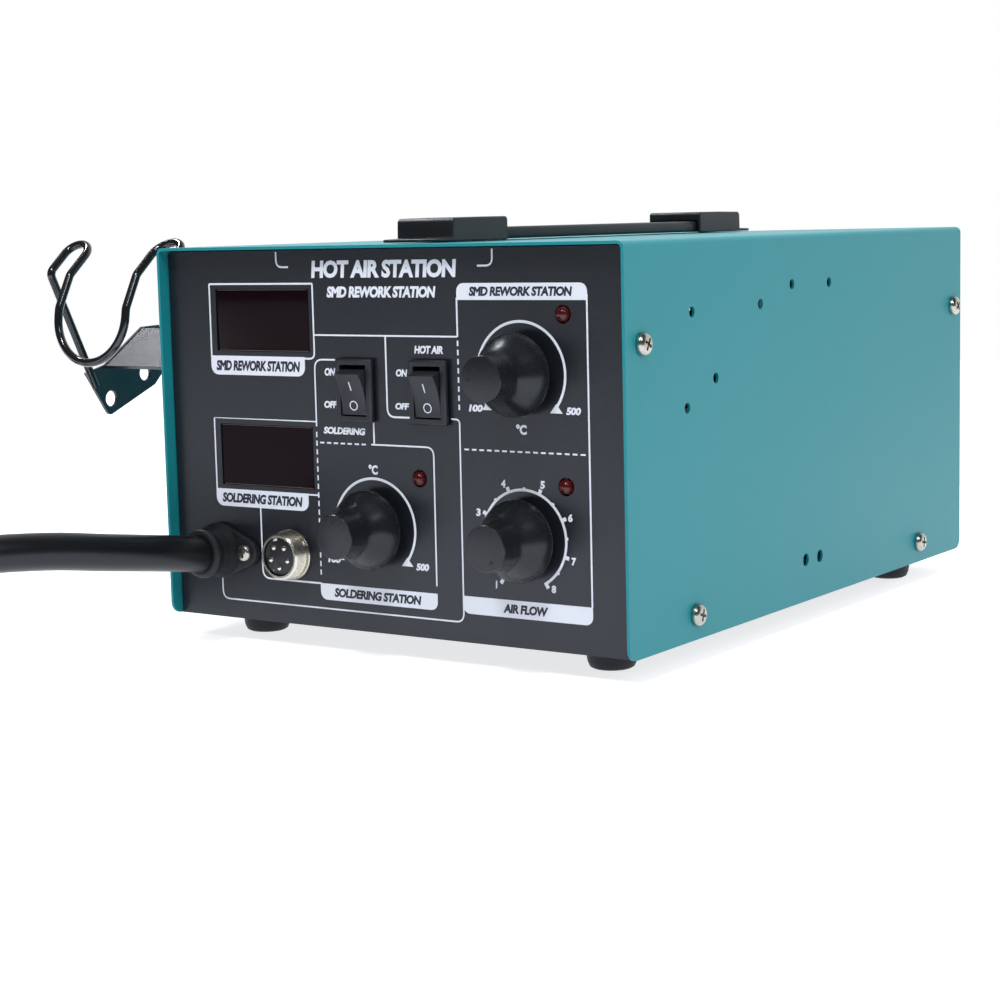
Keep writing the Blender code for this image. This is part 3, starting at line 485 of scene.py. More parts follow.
def tail_spots():
    """Past the coil: straight, then round to face the rear, as it climbs to the handpiece's axis."""
    end = radians(COIL_END)
    start, way = coil_spot(COIL_END), Vector((sin(end), -cos(end), 0))
    bend = start + way * TAIL_STRAIGHT - Vector((cos(end), sin(end), 0)) * TAIL_BEND_R
    whole = TAIL_STRAIGHT + TAIL_BEND_R * radians(TAIL_BEND)
    spots = [(start + way * TAIL_STRAIGHT * share, TAIL_STRAIGHT * share) for share in (0.5, 1.0)]
    for share in (0.25, 0.5, 0.75, 1.0):
        t = end - radians(TAIL_BEND) * share
        reach = TAIL_STRAIGHT + TAIL_BEND_R * radians(TAIL_BEND) * share
        spots.append((bend + Vector((cos(t), sin(t), 0)) * TAIL_BEND_R, reach))
    climb = GRIP_RING_R - HOSE_R
    return [spot + Vector((0, 0, climb * (r / whole) ** 2 * (3 - 2 * r / whole))) for spot, r in spots]


TOOL_START = tail_spots()[-1]


def hose_route():
    """The whole run: out of the gland, down on to the coil, round it, and up into the handpiece."""
    route = [Vector(p) for p in HOSE_RUN] + [coil_spot(*p) for p in HOSE_LANDING]
    steps = 30
    flat_from = -147.0
    route += [coil_spot(flat_from + (COIL_END - flat_from) * i / steps) for i in range(steps + 1)]
    return route + tail_spots() + [TOOL_START + UNIT["Y"] * 8.0]


# ---- Handpiece ---------------------------------------------------------------------------------------------
BOOT_LENGTH = 30.0
SHELL_LENGTH = 112.0
BARREL_OUT = 48.0
BARREL_R = 11.0


def handpiece():
    """Rubber boot with ribs, moulded grip with rings, steel barrel and the ceramic core behind its mouth."""
    boot = [(0.0, 6.4), (0.0, 7.4), (2.5, 8.0)]
    for i in range(6):
        s = 4.0 + i * 3.6
        r = 8.2 + 3.0 * (s - 4.0) / 26.0
        boot += [(s, r - 0.1), (s + 0.4, r + 0.35), (s + 2.0, r + 0.45), (s + 2.4, r - 0.1)]
    boot += [(26.5, 11.0), (29.6, 11.2), (30.0, 10.8), (30.0, 0.0)]
    place = Matrix.Translation(TOOL_START)
    bm = turned(softened(boot, 0.3), "Y", (0, 0, 0))
    pieces = [add_piece("handpiece_cord_boot", bm, RUBBER, nodes=["handpiece_boot"], turn=place)]
    s = BOOT_LENGTH + 0.3
    end = s + SHELL_LENGTH
    shell = [
        (s, 0.0), (s, 12.5), (s + 3.0, 15.0), (s + 6.0, GRIP_RING_R), (s + 12.0, GRIP_RING_R),
        (s + 16.0, 15.0), (s + 40.0, 14.0), (s + 70.0, 15.2), (end - 20.0, 15.6), (end - 16.0, GRIP_RING_R),
        (end - 3.0, GRIP_RING_R), (end, 15.5), (end, 12.5), (end - 29.0, 12.5), (end - 29.0, 11.2),
    ]
    bm = turned(softened(shell, 1.2), "Y", (0, 0, 0), 72)
    pieces.append(add_piece("handpiece_moulded_grip", bm, PLASTIC_BLACK, nodes=["handpiece_grip"],
                            turn=place))
    tip = end + BARREL_OUT
    barrel = [
        (end - 23.0, BARREL_R), (tip - 34.0, BARREL_R), (tip - 33.2, BARREL_R - 0.4),
        (tip - 31.0, BARREL_R - 0.4), (tip - 30.2, BARREL_R), (tip - 1.0, BARREL_R), (tip, BARREL_R - 0.5),
        (tip, BARREL_R - 1.4), (end - 23.0, BARREL_R - 1.2),
    ]
    add_piece("handpiece_steel_barrel", turned(barrel, "Y", (0, 0, 0), 72, ring=True), STEEL,
              nodes=["heater_barrel"], turn=place)
    core = [
        (end - 21.0, 0.0), (end - 21.0, 7.7), (tip - 14.0, 7.7), (tip - 13.0, 7.0), (tip - 13.0, 5.4),
        (tip - 18.0, 5.2), (tip - 18.0, 0.0),
    ]
    bm = turned(core, "Y", (0, 0, 0), 48)
    add_piece("heater_ceramic_core", bm, CERAMIC, nodes=["heater_core"], turn=place)
    return pieces


def air_hose():
    """The hose as one bar, with the handpiece at its far end."""
    line = smooth_curve(hose_route(), 5.0)
    covered = ["hose_lead", "hose_coil", "hose_tail"]
    hose = tube("air_hose", line, HOSE_R, HOSE_RUBBER, nodes=covered, sides=8)
    boot, grip = handpiece()
    length = sum((b - a).length for a, b in zip(line, line[1:])) * MM


add_camera()
air_hose()


# ---- Case --------------------------------------------------------------------------------------------------
def loop_order(edges):
    """The corners of a closed loop of edges, in order."""
    edges = list(edges)
    first = edges.pop()
    order = [first.verts[0], first.verts[1]]
    while edges:
        last = order[-1]
        step = next(e for e in edges if last in e.verts)
        edges.remove(step)
        order.append(step.other_vert(last))
    return order[:-1]


def cross_screw(name, node, axis, direction, radius, face):
    """Pan head screw with a cross recess; its head lies on a face."""
    at = centre_of(node)
    bm = bmesh.new()
    rim = bmesh.ops.create_circle(bm, segments=32, radius=radius)["verts"]
    loop = list({e for v in rim for e in v.link_edges})
    for rise, share in ((0.22, 1.0), (0.42, 0.93), (0.54, 0.80), (0.60, 0.66)):
        grown = bmesh.ops.extrude_edge_only(bm, edges=loop)["geom"]
        loop = [g for g in grown if isinstance(g, bmesh.types.BMEdge)]
        for v in (g for g in grown if isinstance(g, bmesh.types.BMVert)):
            v.co = Vector((v.co.x, v.co.y, 0)).normalized() * radius * share + Vector((0, 0, radius * rise))
    arm, slot, crown = radius * 0.56, radius * 0.13, 0.62
    cross = [
        (arm, -slot), (arm, slot), (slot, slot), (slot, arm), (-slot, arm), (-slot, slot),
        (-arm, slot), (-arm, -slot), (-slot, -slot), (-slot, -arm), (slot, -arm), (slot, -slot),
    ]
    corners = [bm.verts.new((a, b, radius * crown)) for a, b in cross]
    recess = [bm.edges.new((a, b)) for a, b in zip(corners, corners[1:] + corners[:1])]
    bmesh.ops.bridge_loops(bm, edges=loop + recess)
    for sink, share in ((0.25, 0.92), (0.05, 0.55)):
        grown = bmesh.ops.extrude_edge_only(bm, edges=recess)["geom"]
        recess = [g for g in grown if isinstance(g, bmesh.types.BMEdge)]
        for v in (g for g in grown if isinstance(g, bmesh.types.BMVert)):
            v.co = Vector((v.co.x * share, v.co.y * share, v.co.z - radius * (crown - sink) * 0.6))
    bm.faces.new(loop_order(recess))
    bm.faces.new(rim)
    quarter = direction * pi / 2
    turn = {"X": Matrix.Rotation(quarter, 4, "Y"), "Y": Matrix.Rotation(-quarter, 4, "X")}[axis]
    spot = Vector(at)
    setattr(spot, axis.lower(), face)
    twist = Matrix.Rotation(at.y * 0.7 + at.z, 4, "Z")
    place = Matrix.Translation(spot) @ turn @ twist
    add_piece(name, bm, SCREW_NICKEL, nodes=[node], turn=place, smooth=40)


def case():
    refined("teal_cover", "top_cover", TEAL, 0.15)
    refined("black_tray", "chassis_tray", PANEL_BLACK, 0.12)
    wall = CASE_W / 2 + 0.3
    for side, word in ((-1, "left"), (1, "right")):
        for spot in ("front_upper", "front_lower", "rear_upper", "rear_lower"):
            end = f"{word}_{spot}"
            cross_screw(f"cover_cross_screw_{end}", f"cover_screw_{end}", "X", side, 3.6, side * wall)
    foot = [
        (1.8, 0.0), (1.8, 2.8), (0.0, 3.4), (0.0, 6.0), (0.6, 7.2), (2.2, 7.9), (6.9, 8.7), (7.5, 8.4),
        (7.5, 1.9), (12.3, 1.9), (12.3, 0.0),
    ]
    for place in ("front_left", "front_right", "rear_left", "rear_right"):
        at = centre_of(f"foot_{place}")
        shape = turned(softened(foot, 0.7), "Z", (at.x, at.y, -FOOT_H), 64)
        add_piece(f"rubber_foot_{place}", shape, RUBBER, nodes=[f"foot_{place}"])


def handle():
    for end in ("front", "rear"):
        refined(f"handle_moulded_clip_{end}", f"handle_clip_{end}", PLASTIC_BLACK, 0.45, 3)
    low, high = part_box("handle_strap")
    low, high = (low - CORNER) / MM, (high - CORNER) / MM
    strap = block((low.x, high.x), (low.y, high.y), (low.z, high.z), 0.9, 4)
    add_piece("handle_padded_strap", strap, STRAP_BLACK, nodes=["handle_strap"])


# ---- Panel print -------------------------------------------------------------------------------------------
PRINT_Y = PANEL_Y - 0.02
LINE_W, DIAL_LINE_W = 0.62, 1.0
DIAL_R, AIR_DIAL_R = 16.4, 15.6
DIAL_SHIFT = Vector((-0.45, 0.0))
HOT_AIR_DIAL = tuple(centre_of("hot_air_temp_knob").xz + DIAL_SHIFT)
AIR_DIAL = tuple(centre_of("air_flow_knob").xz + DIAL_SHIFT)
SOLDER_DIAL = tuple(centre_of("soldering_temp_knob").xz + DIAL_SHIFT)
# Where each number stands round the air flow dial.
AIR_NUMBERS = (
    ("1", 42.1, 19.8), ("2", 35.2, 30.0), ("3", 35.8, 42.6), ("4", 45.6, 52.2),
    ("5", 60.3, 52.5), ("6", 70.3, 42.7), ("7", 71.3, 29.1), ("8", 63.7, 19.9),
)


def dashes(start, end, length=1.75, period=2.9):
    """A straight line broken into dashes."""
    start, end = Vector(start), Vector(end)
    whole = (end - start).length
    way = (end - start).normalized()
    count = int((whole + period - length) / period)
    return [[start + way * period * i, start + way * (period * i + length)] for i in range(count)]


def panel_lines():
    """The rules that tie each window, dial, lamp and switch to its label."""
    lines = [
        bent([(-73.9, 90.6), (-73.9, 115.1), (-28.8, 115.1), (-28.8, 90.3), (-33.2, 90.3)], 0.4)[:-7]
        + bent([(-28.8, 96.0), (-28.8, 90.3), (-33.2, 90.3)], 3.0),
        bent([(-73.9, 44.6), (-73.9, 69.4), (-28.9, 69.4)], 0.0),
        [(-33.6, 44.7), (-29.0, 44.7)],
        bent([(-43.9, 125.7), (-43.9, 120.6), (-38.8, 120.6)], 3.2),
        bent([(43.3, 125.7), (43.3, 120.5), (37.6, 120.5)], 3.2),
        [(-28.8, 98.2), (29.3, 98.2)],
        bent([(0.8, 98.2), (0.8, 71.9), (9.7, 71.9)], 3.0),
        bent([(-19.6, 90.1), (-28.85, 90.1), (-28.9, 67.8)], 3.2),
        bent([(-6.2, 62.6), (18.9, 62.6), (18.7, 17.5)], 3.0),
        [(-5.0, 70.1), (-5.0, 62.6)],
        bent([(26.2, 71.95), (29.4, 71.95), (29.1, 6.5), (-73.0, 6.5), (-73.0, 15.2)], 3.0),
        [(77.7, 111.6), (77.7, 15.2)],
        bent([(-54.6, 39.4), (-54.6, 14.9), (-29.1, 14.9)], 3.2),
    ]
    lines += dashes((-28.95, 66.0), (-29.1, 15.3)) + dashes((-27.6, 62.5), (-7.2, 62.5))
    lines += dashes((29.4, 97.0), (29.4, 73.2)) + dashes((31.0, 62.5), (77.0, 62.5))
    lines.append([(29.4, 110.5), (29.4, 98.2)])
    return lines


def dial_lines():
    """Arcs round the dials; the air flow dial has broad ticks at its numbers and short ones between them."""
    lines = [arc(centre, DIAL_R, -37, 217, 60) for centre in (HOT_AIR_DIAL, SOLDER_DIAL)]
    lines.append(arc(AIR_DIAL, AIR_DIAL_R, -59, 239, 60))
    short = [238.0 - 149.0 / 7 * i for i in range(1, 14, 2)]
    return lines + [arc(AIR_DIAL, 15.9, a, a, 1)[:1] + arc(AIR_DIAL, 16.4, a, a, 1)[:1] for a in short]


def ink_plate(outline):
    """A thin printed area on the panel."""
    return prism(outline, "Y", PANEL_Y - 0.05, PANEL_Y + 0.02)


def ticks():
    """Square ticks at the air flow dial's numbers."""
    shapes = []
    for i in range(8):
        t = radians(238.0 - 298.0 / 7 * i)
        out, along = Vector((cos(t), sin(t))), Vector((-sin(t), cos(t))) * 0.62
        centre = Vector(AIR_DIAL)
        near, far = centre + out * 15.2, centre + out * 17.3
        corners = [near - along, near + along, far + along, far - along]
        shapes.append(ink_plate([tuple(c) for c in corners]))
    return shapes


def drawn_shape(curve):
    """Makes a drawn curve or word into a shape, and removes the drawing."""
    drawn = bpy.data.objects.new("drawn", curve)
    bpy.context.scene.collection.objects.link(drawn)
    bpy.context.view_layer.update()
    bm = bmesh.new()
    bm.from_mesh(drawn.evaluated_get(bpy.context.evaluated_depsgraph_get()).to_mesh())
    bpy.data.objects.remove(drawn)
    bpy.data.curves.remove(curve)
    bmesh.ops.remove_doubles(bm, verts=bm.verts, dist=MERGE_MM)
    return bm


def line_print(name, lines, width, material):
    """Round-ended ink lines, as flattened bars."""
    curve = bpy.data.curves.new(name, "CURVE")
    curve.dimensions = "3D"
    for line in lines:
        spline = curve.splines.new("POLY")
        spline.points.add(len(line) - 1)
        for knot, p in zip(spline.points, line):
            knot.co = (p[0], 0.0, p[1], 1.0)
    curve.bevel_depth = width / 2
    curve.bevel_resolution = 1
    curve.use_fill_caps = True
    bm = drawn_shape(curve)
    bmesh.ops.scale(bm, verts=bm.verts, vec=(1, 0.12, 1))
    bmesh.ops.translate(bm, verts=bm.verts, vec=(0, PRINT_Y, 0))
    add_piece(name, bm, material, smooth=60)


def word_shape(text, x, z, lean=0.16, weight=0.05):
    """A word in close, heavy letters, fitted between limits on the panel and facing the front."""
    curve = bpy.data.curves.new("word", "FONT")
    curve.body = text
    curve.size = 1.0
    curve.shear = lean
    curve.space_character = 0.94
    curve.bevel_depth = weight
    curve.bevel_resolution = 0
    curve.extrude = 0.004
    curve.resolution_u = 3
    bm = drawn_shape(curve)
    xs, ys = [v.co.x for v in bm.verts], [v.co.y for v in bm.verts]
    bmesh.ops.translate(bm, verts=bm.verts, vec=(-min(xs), -min(ys), 0))
    fit = ((x[1] - x[0]) / (max(xs) - min(xs)), (z[1] - z[0]) / (max(ys) - min(ys)), 1.0)
    bmesh.ops.scale(bm, verts=bm.verts, vec=fit)
    turn = Matrix.Translation((x[0], 0, z[0])) @ Matrix.Rotation(pi / 2, 4, "X")
    bmesh.ops.transform(bm, matrix=turn, verts=bm.verts)
    return bm


def word_print(name, words, material, lift):
    """Words of one ink, as one piece."""
    bm = joined(*(word_shape(*w) for w in words))
    bmesh.ops.translate(bm, verts=bm.verts, vec=(0, PANEL_Y - lift, 0))
    add_piece(name, bm, material, smooth=20)


def panel_print():
    line_print("panel_lines", panel_lines(), LINE_W, WHITE_INK)
    line_print("dial_lines", dial_lines(), DIAL_LINE_W, WHITE_INK)
    plates = (
        ((-74.2, -33.0), (84.3, 90.8), (0, 0, 3.0, 3.0)), ((-74.2, -33.4), (39.0, 45.0), (0, 0, 3.0, 3.0)),
        ((29.4, 77.9), (109.8, 115.1), (2.6, 2.6, 0, 0)), ((29.0, 77.9), (9.5, 15.2), (0, 0, 2.6, 2.6)),
        ((-29.4, 18.9), (9.5, 15.0), (0, 0, 2.6, 2.6)),
    )
    shapes = [ink_plate(rounded_outline(*p)) for p in plates]
    for centre in (HOT_AIR_DIAL, SOLDER_DIAL):
        for angle, wide, high in ((-38, 2.3, 2.9), (218, 1.9, 2.4)):
            x, z = arc(centre, DIAL_R, angle, angle, 1)[0]
            corners = [(x - wide, z - high * 0.6), (x + wide, z - high * 0.6), (x, z + high * 0.4)]
            shapes.append(ink_plate(corners))
    shapes += ticks()
    add_piece("panel_label_plates", joined(*shapes), WHITE_INK, smooth=20)
    words = [
        ("HOT AIR STATION", (-29.0, 29.6), (116.9, 122.7), 0.08, 0.045),
        ("SMD REWORK STATION", (-22.8, 21.4), (110.5, 114.2)),
        ("ON", (-24.7, -20.2), (84.8, 87.4)), ("OFF", (-25.3, -19.8), (74.1, 76.5)),
        ("SOLDERING", (-25.9, -8.5), (65.5, 67.9)), ("HOT AIR", (12.3, 23.7), (92.6, 95.2)),
        ("ON", (4.7, 9.3), (85.1, 87.5)), ("OFF", (4.1, 9.7), (74.4, 76.6)),
        ("°C", (-7.6, -3.9), (52.7, 56.0), 0.0), ("°C", (50.9, 54.9), (67.9, 71.2), 0.0),
        ("500", (69.5, 74.9), (74.6, 77.0)), ("100", (33.1, 38.5), (74.6, 76.9)),
        ("500", (10.6, 15.8), (22.1, 24.5)), ("100", (-25.9, -20.5), (22.3, 24.6)),
    ]
    for n, x, z in AIR_NUMBERS:
        half = 0.32 if n == "1" else 0.85
        words.append((n, (x - half, x + half), (z - 1.25, z + 1.25), 0.05))
    word_print("panel_words", words, WHITE_INK, 0.04)
    labels = [
        ("SMD REWORK STATION", (-71.9, -35.0), (85.7, 89.3)),
        ("SOLDERING STATION", (-71.5, -36.0), (40.3, 43.7)),
        ("SMD REWORK STATION", (34.2, 72.6), (111.0, 114.0)), ("AIR FLOW", (44.5, 61.5), (10.9, 13.9)),
        ("SOLDERING STATION", (-23.6, 12.4), (10.7, 13.8)),
    ]
    word_print("panel_label_words", labels, DARK_INK, 0.08)


# ---- Panel parts -------------------------------------------------------------------------------------------
def windows():
    for kind in ("hot_air", "soldering"):
        refined(f"{kind}_smoked_window", f"{kind}_display_window", SMOKED, 0.15)
        at = centre_of(f"{kind}_display_window")
        wide, deep = (at.x - 19.6, at.x + 19.6), (PANEL_Y + 0.15, PANEL_Y + 0.5)
        # Thin brownish strips at the top and bottom of each window opening: a painted highlight where the
        # opening's edges catch the light.
        highlight_strips = [block(wide, deep, (at.z + s - 0.12, at.z + s + 0.12), 0.1, 2) for s in (-10.2, 10.2)]
        add_piece(f"{kind}_window_edge_painted_highlights", joined(*highlight_strips), WINDOW_EDGE_HIGHLIGHT)


KNOB_FACE = -18.3
KNOB = [
    (KNOB_FACE, 0.0), (KNOB_FACE, 7.1), (-17.9, 7.32), (-12.4, 7.5), (-10.2, 7.95), (-8.6, 8.75), (-7.0, 9.85),
    (-5.4, 11.0), (-3.8, 12.05), (-2.3, 12.8), (-1.0, 13.2), (0.0, 13.1), (0.0, 9.8), (-4.0, 9.8), (-4.0, 3.3),
]
# The knob's curved flank runs between these two points of its profile.
NECK, SKIRT = 4, 12


def knob(kind, pointer):
    """Bell-shaped knob, with a small near-black disc on its face that points at the dial: painted shade
    standing in for the pointer dimple.
    """
    at = centre_of(f"{kind}_knob")
    body = f"{kind}_dial"
    face = [Vector(p) for p in KNOB]
    profile = bent(face[:NECK], 0.18, 3)[:-1] + rounded_path(face[NECK - 1:SKIRT], 3) + face[SKIRT:]
    bm = turned(profile, "Y", (at.x, 0, at.z), 96)
    add_piece(f"{kind}_bell_knob", bm, KNOB_BLACK, body, [f"{kind}_knob"], smooth=38)
    # The pointer is a near-black disc just proud of the face: painted shade where the dimple's hollow would be.
    x, z = arc((at.x, at.z), 4.7, pointer, pointer, 1)[0]
    dimple = ((-0.02, 0.0), (-0.05, 0.45), (-0.04, 0.62), (0.2, 0.66), (0.2, 0.0))
    bm = turned([(KNOB_FACE + s, r) for s, r in dimple], "Y", (x, 0, z), 24)
    add_piece(f"{kind}_pointer_dimple_painted_shade", bm, DIMPLE_PAINTED_SHADE, body, smooth=50)


def rocker_switch(kind):
    """Framed rocker switch: a square bezel, and a hollow-faced rocker that rests with its lower end in."""
    at = centre_of(f"{kind}_switch_housing")
    refined(f"{kind}_switch_bezel", f"{kind}_switch_housing", SWITCH_BLACK, 0.30, segments=3)
    body = f"{kind}_switch"
    half = 5.0
    face = rounded_path([Vector(p) for p in ((-4.1, 7.15), (-3.5, 4.9), (-3.1, 2.5), (-3.0, 0.0))], 3)
    upper = [tuple(p) for p in face]
    lower = [(a, -b) for a, b in reversed(upper[:-1])]
    outline = upper + lower + [(0.0, -7.2), (2.8, -6.6), (4.2, -2.0), (4.2, 2.0), (2.8, 6.6), (0.0, 7.2)]
    place = Matrix.Translation((at.x, PANEL_Y, at.z)) @ Matrix.Rotation(radians(17), 4, "X")
    paddle = prism(outline, "X", -half, half, 0.22, 3)
    add_piece(f"{kind}_rocker_cap", paddle, SWITCH_BLACK, body, [f"{kind}_rocker"], 24, place)
    ring = turned([(-0.06, 1.3), (-0.06, 1.62), (0.05, 1.62), (0.05, 1.3)], "Y", (0, 0, 0), 40, ring=True)
    tip = Matrix.Translation((0, -3.37, -4.1)) @ Matrix.Rotation(radians(-10), 4, "X")
    bmesh.ops.transform(ring, matrix=tip, verts=ring.verts)
    bar = block((-0.2, 0.2), (-0.06, 0.05), (-1.6, 1.6), 0.0)
    tip = Matrix.Translation((0, -3.17, 2.6)) @ Matrix.Rotation(radians(6.5), 4, "X")
    bmesh.ops.transform(bar, matrix=tip, verts=bar.verts)
    add_piece(f"{kind}_rocker_marks", joined(ring, bar), WHITE_INK, body, smooth=40, turn=place)


def lamps():
    """Domed lamps with a collar behind the panel."""
    dome = [
        (-2.1, 0.0), (-2.02, 0.7), (-1.75, 1.35), (-1.25, 1.9), (-0.5, 2.35), (0.6, 2.5), (1.5, 2.5),
        (1.5, 3.3), (2.6, 3.3), (2.6, 2.5), (9.0, 2.5), (9.0, 0.0),
    ]
    for name in ("lamp_hot_air", "lamp_air_flow", "lamp_soldering"):
        at = centre_of(name)
        bm = turned(dome, "Y", (at.x, PANEL_Y, at.z), 40)
        add_piece(f"{name}_lens", bm, RED_LENS, nodes=[name])


def round_socket():
    """Threaded nickel barrel with a black insert, a key and five round contacts."""
    at = centre_of("socket_shell")
    shell = [(-2.8, 6.6), (-2.8, 7.2), (-2.5, 7.55)]
    s = -2.3
    while s < 2.4:
        shell += [(s, 7.45), (s + 0.25, 7.8), (s + 0.45, 7.8)]
        s += 0.62
    shell += [(2.9, 7.5), (2.9, 8.5), (3.2, 8.7), (4.1, 8.7), (4.1, 7.8), (14.0, 7.8), (14.0, 6.6)]
    add_piece("socket_threaded_barrel", turned(shell, "Y", (at.x, 0, at.z), 72, ring=True), NICKEL,
              nodes=["socket_shell"], smooth=25)
    insert = [(-2.0, 0.0), (-2.0, 6.0), (-1.8, 6.35), (15.0, 6.35), (15.0, 0.0)]
    key = block((-0.9, 0.9), (-2.6, 0.0), (5.5, 6.9), 0.2)
    turn = Matrix.Translation((at.x, 0, at.z)) @ Matrix.Rotation(radians(-14), 4, "Y")
    bmesh.ops.transform(key, matrix=turn, verts=key.verts)
    add_piece("socket_black_insert", turned(insert, "Y", (at.x, 0, at.z), 48), PLASTIC_BLACK,
              nodes=["socket_insert"])
    pin = [(-3.0, 0.0), (-2.9, 0.45), (-2.6, 0.85), (-2.0, 1.0), (-1.0, 1.0), (-1.0, 0.0)]
    pins = []
    for i in range(5):
        x, z = arc((at.x, at.z), 3.75, -90 + 72 * i, 0, 1)[0]
        pins.append(turned(pin, "Y", (x, 0, z), 24))
    add_piece("socket_contacts", joined(*pins), NICKEL)
    add_piece("socket_key", key, NICKEL)
    refined("socket_lock_nut", "socket_nut", NICKEL, 0.2)


def hose_gland():
    """Rubber gland: a two-lobed plate held by two screws, and a waisted hub that the hose comes out of."""
    at = centre_of("gland_screw_left") * 0.5 + centre_of("gland_screw_right") * 0.5
    reach, lobe, middle = 12.3, 4.8, 9.6
    lean = 90 - atan2(middle - lobe, reach) * 180 / pi
    outline = arc((at.x + reach, at.z), lobe, -lean, lean, 10)
    outline += arc((at.x, at.z), middle, lean, 180 - lean, 10)
    outline += arc((at.x - reach, at.z), lobe, 180 - lean, 180 + lean, 10)
    outline += arc((at.x, at.z), middle, 180 + lean, 360 - lean, 10)
    plate = prism(outline, "Y", 1.9, 4.1, 0.4, 3)
    add_piece("gland_plate", plate, RUBBER, nodes=["hose_gland"])
    hub = [
        (-8.0, 6.3), (-8.0, 7.2), (-7.6, 8.1), (-6.8, 8.5), (-5.6, 8.4), (-5.0, 7.9), (-4.0, 7.8), (-1.0, 8.4),
        (0.8, 9.0), (1.6, 9.3), (2.6, 9.4), (2.6, 6.3),
    ]
    add_piece("gland_hub", turned(softened(hub, 0.35), "Y", (at.x, 0, at.z), 56), RUBBER)
    for side, word in ((-1, "left"), (1, "right")):
        cross_screw(f"gland_cross_screw_{word}", f"gland_screw_{word}", "Y", -1, 2.9, 1.6)


# ---- Wire holder -------------------------------------------------------------------------------------------
def wire_holder():
    """Sheet bracket, and one bent wire: a cradle in front, and a loop and a leg at each side."""
    refined("holder_sheet_bracket", "holder_bracket", BRACKET_BLACK, 0.12)
    low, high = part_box("holder_bracket")
    low, high = (low - CORNER) / MM, (high - CORNER) / MM
    middle = (low.x + high.x) / 2
    wire_r = 1.5
    outer, inner = (high.x - low.x) / 2 - 1.2 - 0.3 - wire_r, 16.3
    foot, knee = (27.5, 76.5), (7.0, 119.3)
    inner_knee, elbow, cradle_top = Vector((5.5, 118.5)), Vector((-0.6, 107.0)), Vector((-1.1, 104.0))
    rise = Vector((12.1, 10.2)).normalized()
    straight = 10.3
    loop_r, loop_mid = (outer - inner) / 2, (outer + inner) / 2
    half = bent([(outer, *foot), (outer, *knee), (outer, *(Vector(knee) + rise * straight))], 3.0, 8)
    loop_start, loop_end = Vector(knee) + rise * straight, inner_knee + rise * straight
    for across, up in arc((0, 0), loop_r, 0, 180, 16)[1:-1]:
        share = (loop_r - across) / (2 * loop_r)
        half.append(Vector((loop_mid + across, *(loop_start.lerp(loop_end, share) + rise * up))))
    half += bent([(inner, *spot) for spot in (loop_end, inner_knee, elbow, cradle_top)], 4.0, 8)
    lean = (elbow - cradle_top).normalized()
    sweep = arc((0, 0), inner, 0, -180, 32)[1:-1]
    cradle = [Vector((across, *(cradle_top + lean * up))) for across, up in sweep]
    line = half + cradle + [Vector((-p.x, p.y, p.z)) for p in reversed(half)]
    line = [Vector((middle + p.x, p.y, p.z)) for p in line]
    tube("holder_bent_wire", line, wire_r, WIRE_BLACK, nodes=["holder_wire"], sides=6)
    for word in ("rear", "front"):
        cross_screw(f"holder_cross_screw_{word}", f"holder_screw_{word}", "X", -1, 3.6, high.x - 1.5)


# ---- Rear and inside ---------------------------------------------------------------------------------------
def rear_parts():
    refined("mains_inlet_body", "mains_inlet", PLASTIC_BLACK, 0.3, segments=3)
    at = centre_of("mains_inlet")
    spots = [(at.x + dx, at.z + dz) for dx, dz in ((-7.0, -1.6), (0.0, 1.8), (7.0, -1.6))]
    blades = [block((x - 1.0, x + 1.0), (239.6, 252.0), (z - 2.4, z + 2.4), 0.4) for x, z in spots]
    add_piece("mains_inlet_blades", joined(*blades), BRASS)
    refined("fuse_holder_body", "fuse_holder", PLASTIC_BLACK, 0.2)


def carried_over():
    """CAD pieces whose shapes stay: those inside the case, with their finishes."""
    kept = {
        BOARD: ["control_board"],
        SWITCH_BLACK: ["hot_air_digit_display", "soldering_digit_display"],
        PLASTIC_BLACK: ["air_pump"],
        SILICONE: ["air_tube"],
        STEEL: ["transformer"] + [f"{k}_{w}" for k in ("hot_air_temp", "air_flow", "soldering_temp")
                                  for w in ("shaft", "potentiometer")],
    }
    for material, nodes in kept.items():
        for node in nodes:
            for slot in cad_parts[node].material_slots:
                slot.link = "OBJECT"
                slot.material = material


# ---- Floor and light ---------------------------------------------------------------------------------------
def surround():
    """White behind the object for the eye; for light and reflections, bright at the rear and dim in front."""
    world = bpy.data.worlds.new("surround")
    world.use_nodes = True
    nodes, link = world.node_tree.nodes, world.node_tree.links.new
    way = nodes.new("ShaderNodeTexCoord")
    parts = nodes.new("ShaderNodeSeparateXYZ")
    rear = nodes.new("ShaderNodeMapRange")
    rear.inputs["From Min"].default_value, rear.inputs["From Max"].default_value = 0.35, 0.75
    rear.inputs["To Min"].default_value, rear.inputs["To Max"].default_value = 0.07, 1.0
    seen = nodes.new("ShaderNodeLightPath")
    brighter = nodes.new("ShaderNodeMath")
    brighter.operation = "MAXIMUM"
    link(way.outputs["Generated"], parts.inputs[0])
    link(parts.outputs["Y"], rear.inputs["Value"])
    link(rear.outputs["Result"], brighter.inputs[0])
    link(seen.outputs["Is Camera Ray"], brighter.inputs[1])
    link(brighter.outputs[0], nodes["Background"].inputs["Strength"])
    nodes["Background"].inputs["Color"].default_value = (1.0, 1.0, 1.0, 1.0)
    bpy.context.scene.world = world


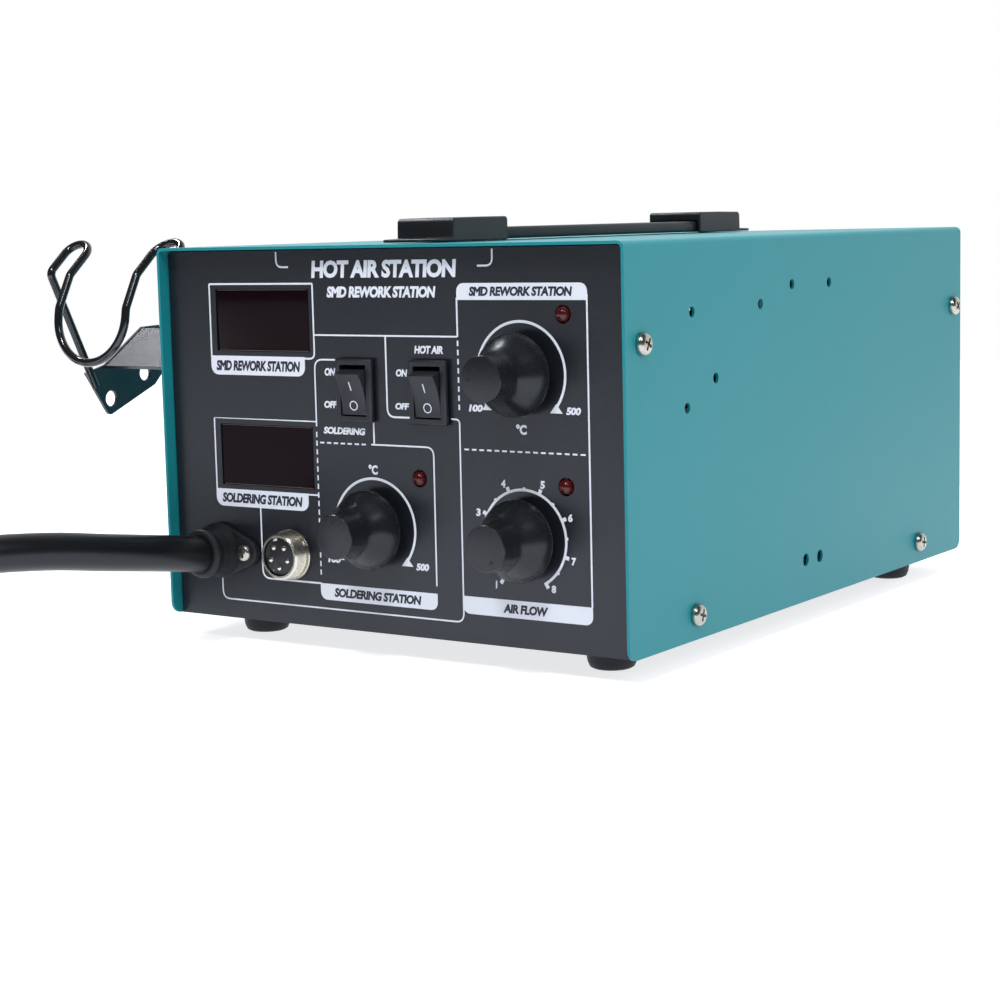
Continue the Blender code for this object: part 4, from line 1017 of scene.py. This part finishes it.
def studio():
    """Pale round floor, the surround, and lights; the last word of each says whether it shows in the gloss."""
    disc = bmesh.new()
    bmesh.ops.create_circle(disc, cap_ends=True, segments=96, radius=1.35)
    bmesh.ops.translate(disc, verts=disc.verts, vec=(0, 0, -0.0002))
    mesh = bpy.data.meshes.new("floor")
    disc.to_mesh(mesh)
    disc.free()
    floor = bpy.data.objects.new("floor", mesh)
    pale = Recipe("pale_floor").finish(
        Base_Color=(0.42, 0.43, 0.44), Roughness=0.95,
        Emission_Color=(0.97, 0.98, 1.0), Emission_Strength=0.78,
    )
    floor.data.materials.append(pale)
    bpy.context.scene.collection.objects.link(floor)
    surround()
    lights = (
        ("ceiling_softbox", (-0.3, 0.1, 1.6), (-0.3, 0.1, 0), 2.4, 34.0, False),
        ("right_softbox", (1.5, -0.4, 0.9), (0.1, 0, 0.05), 0.8, 9.0, False),
        ("left_high_spot", (-0.75, 0.15, 1.25), (0, 0, 0.08), 0.24, 12.0, True),
        ("front_high_spot", (0.3, -1.0, 1.5), (0.1, 0, 0.08), 0.22, 12.0, True),
        ("right_high_spot", (1.2, -0.9, 1.3), (0.1, 0, 0.08), 0.26, 3.5, True),
        ("left_fill", (-1.5, -1.0, 0.9), (0, 0, 0.08), 0.8, 5.0, False),
        ("rear_fill", (-0.6, 1.6, 1.0), (0, 0, 0.08), 0.8, 6.0, False),
    )
    for name, spot, target, size, power, mirrored in lights:
        lamp = bpy.data.lights.new(name, "AREA")
        lamp.size = size
        lamp.energy = power
        obj = bpy.data.objects.new(name, lamp)
        aim = (Vector(target) - Vector(spot)).to_track_quat("-Z", "Y").to_matrix().to_4x4()
        obj.matrix_world = Matrix.Translation(spot) @ aim
        obj.visible_glossy = mirrored
        bpy.context.scene.collection.objects.link(obj)
    bpy.context.scene.view_settings.view_transform = "Standard"


case()
handle()
panel_print()
windows()
for kind, pointer in (("hot_air_temp", 180), ("air_flow", -60), ("soldering_temp", 90)):
    knob(kind, pointer)
for kind in ("hot_air", "soldering"):
    rocker_switch(kind)
lamps()
round_socket()
hose_gland()
wire_holder()
rear_parts()
carried_over()
studio()
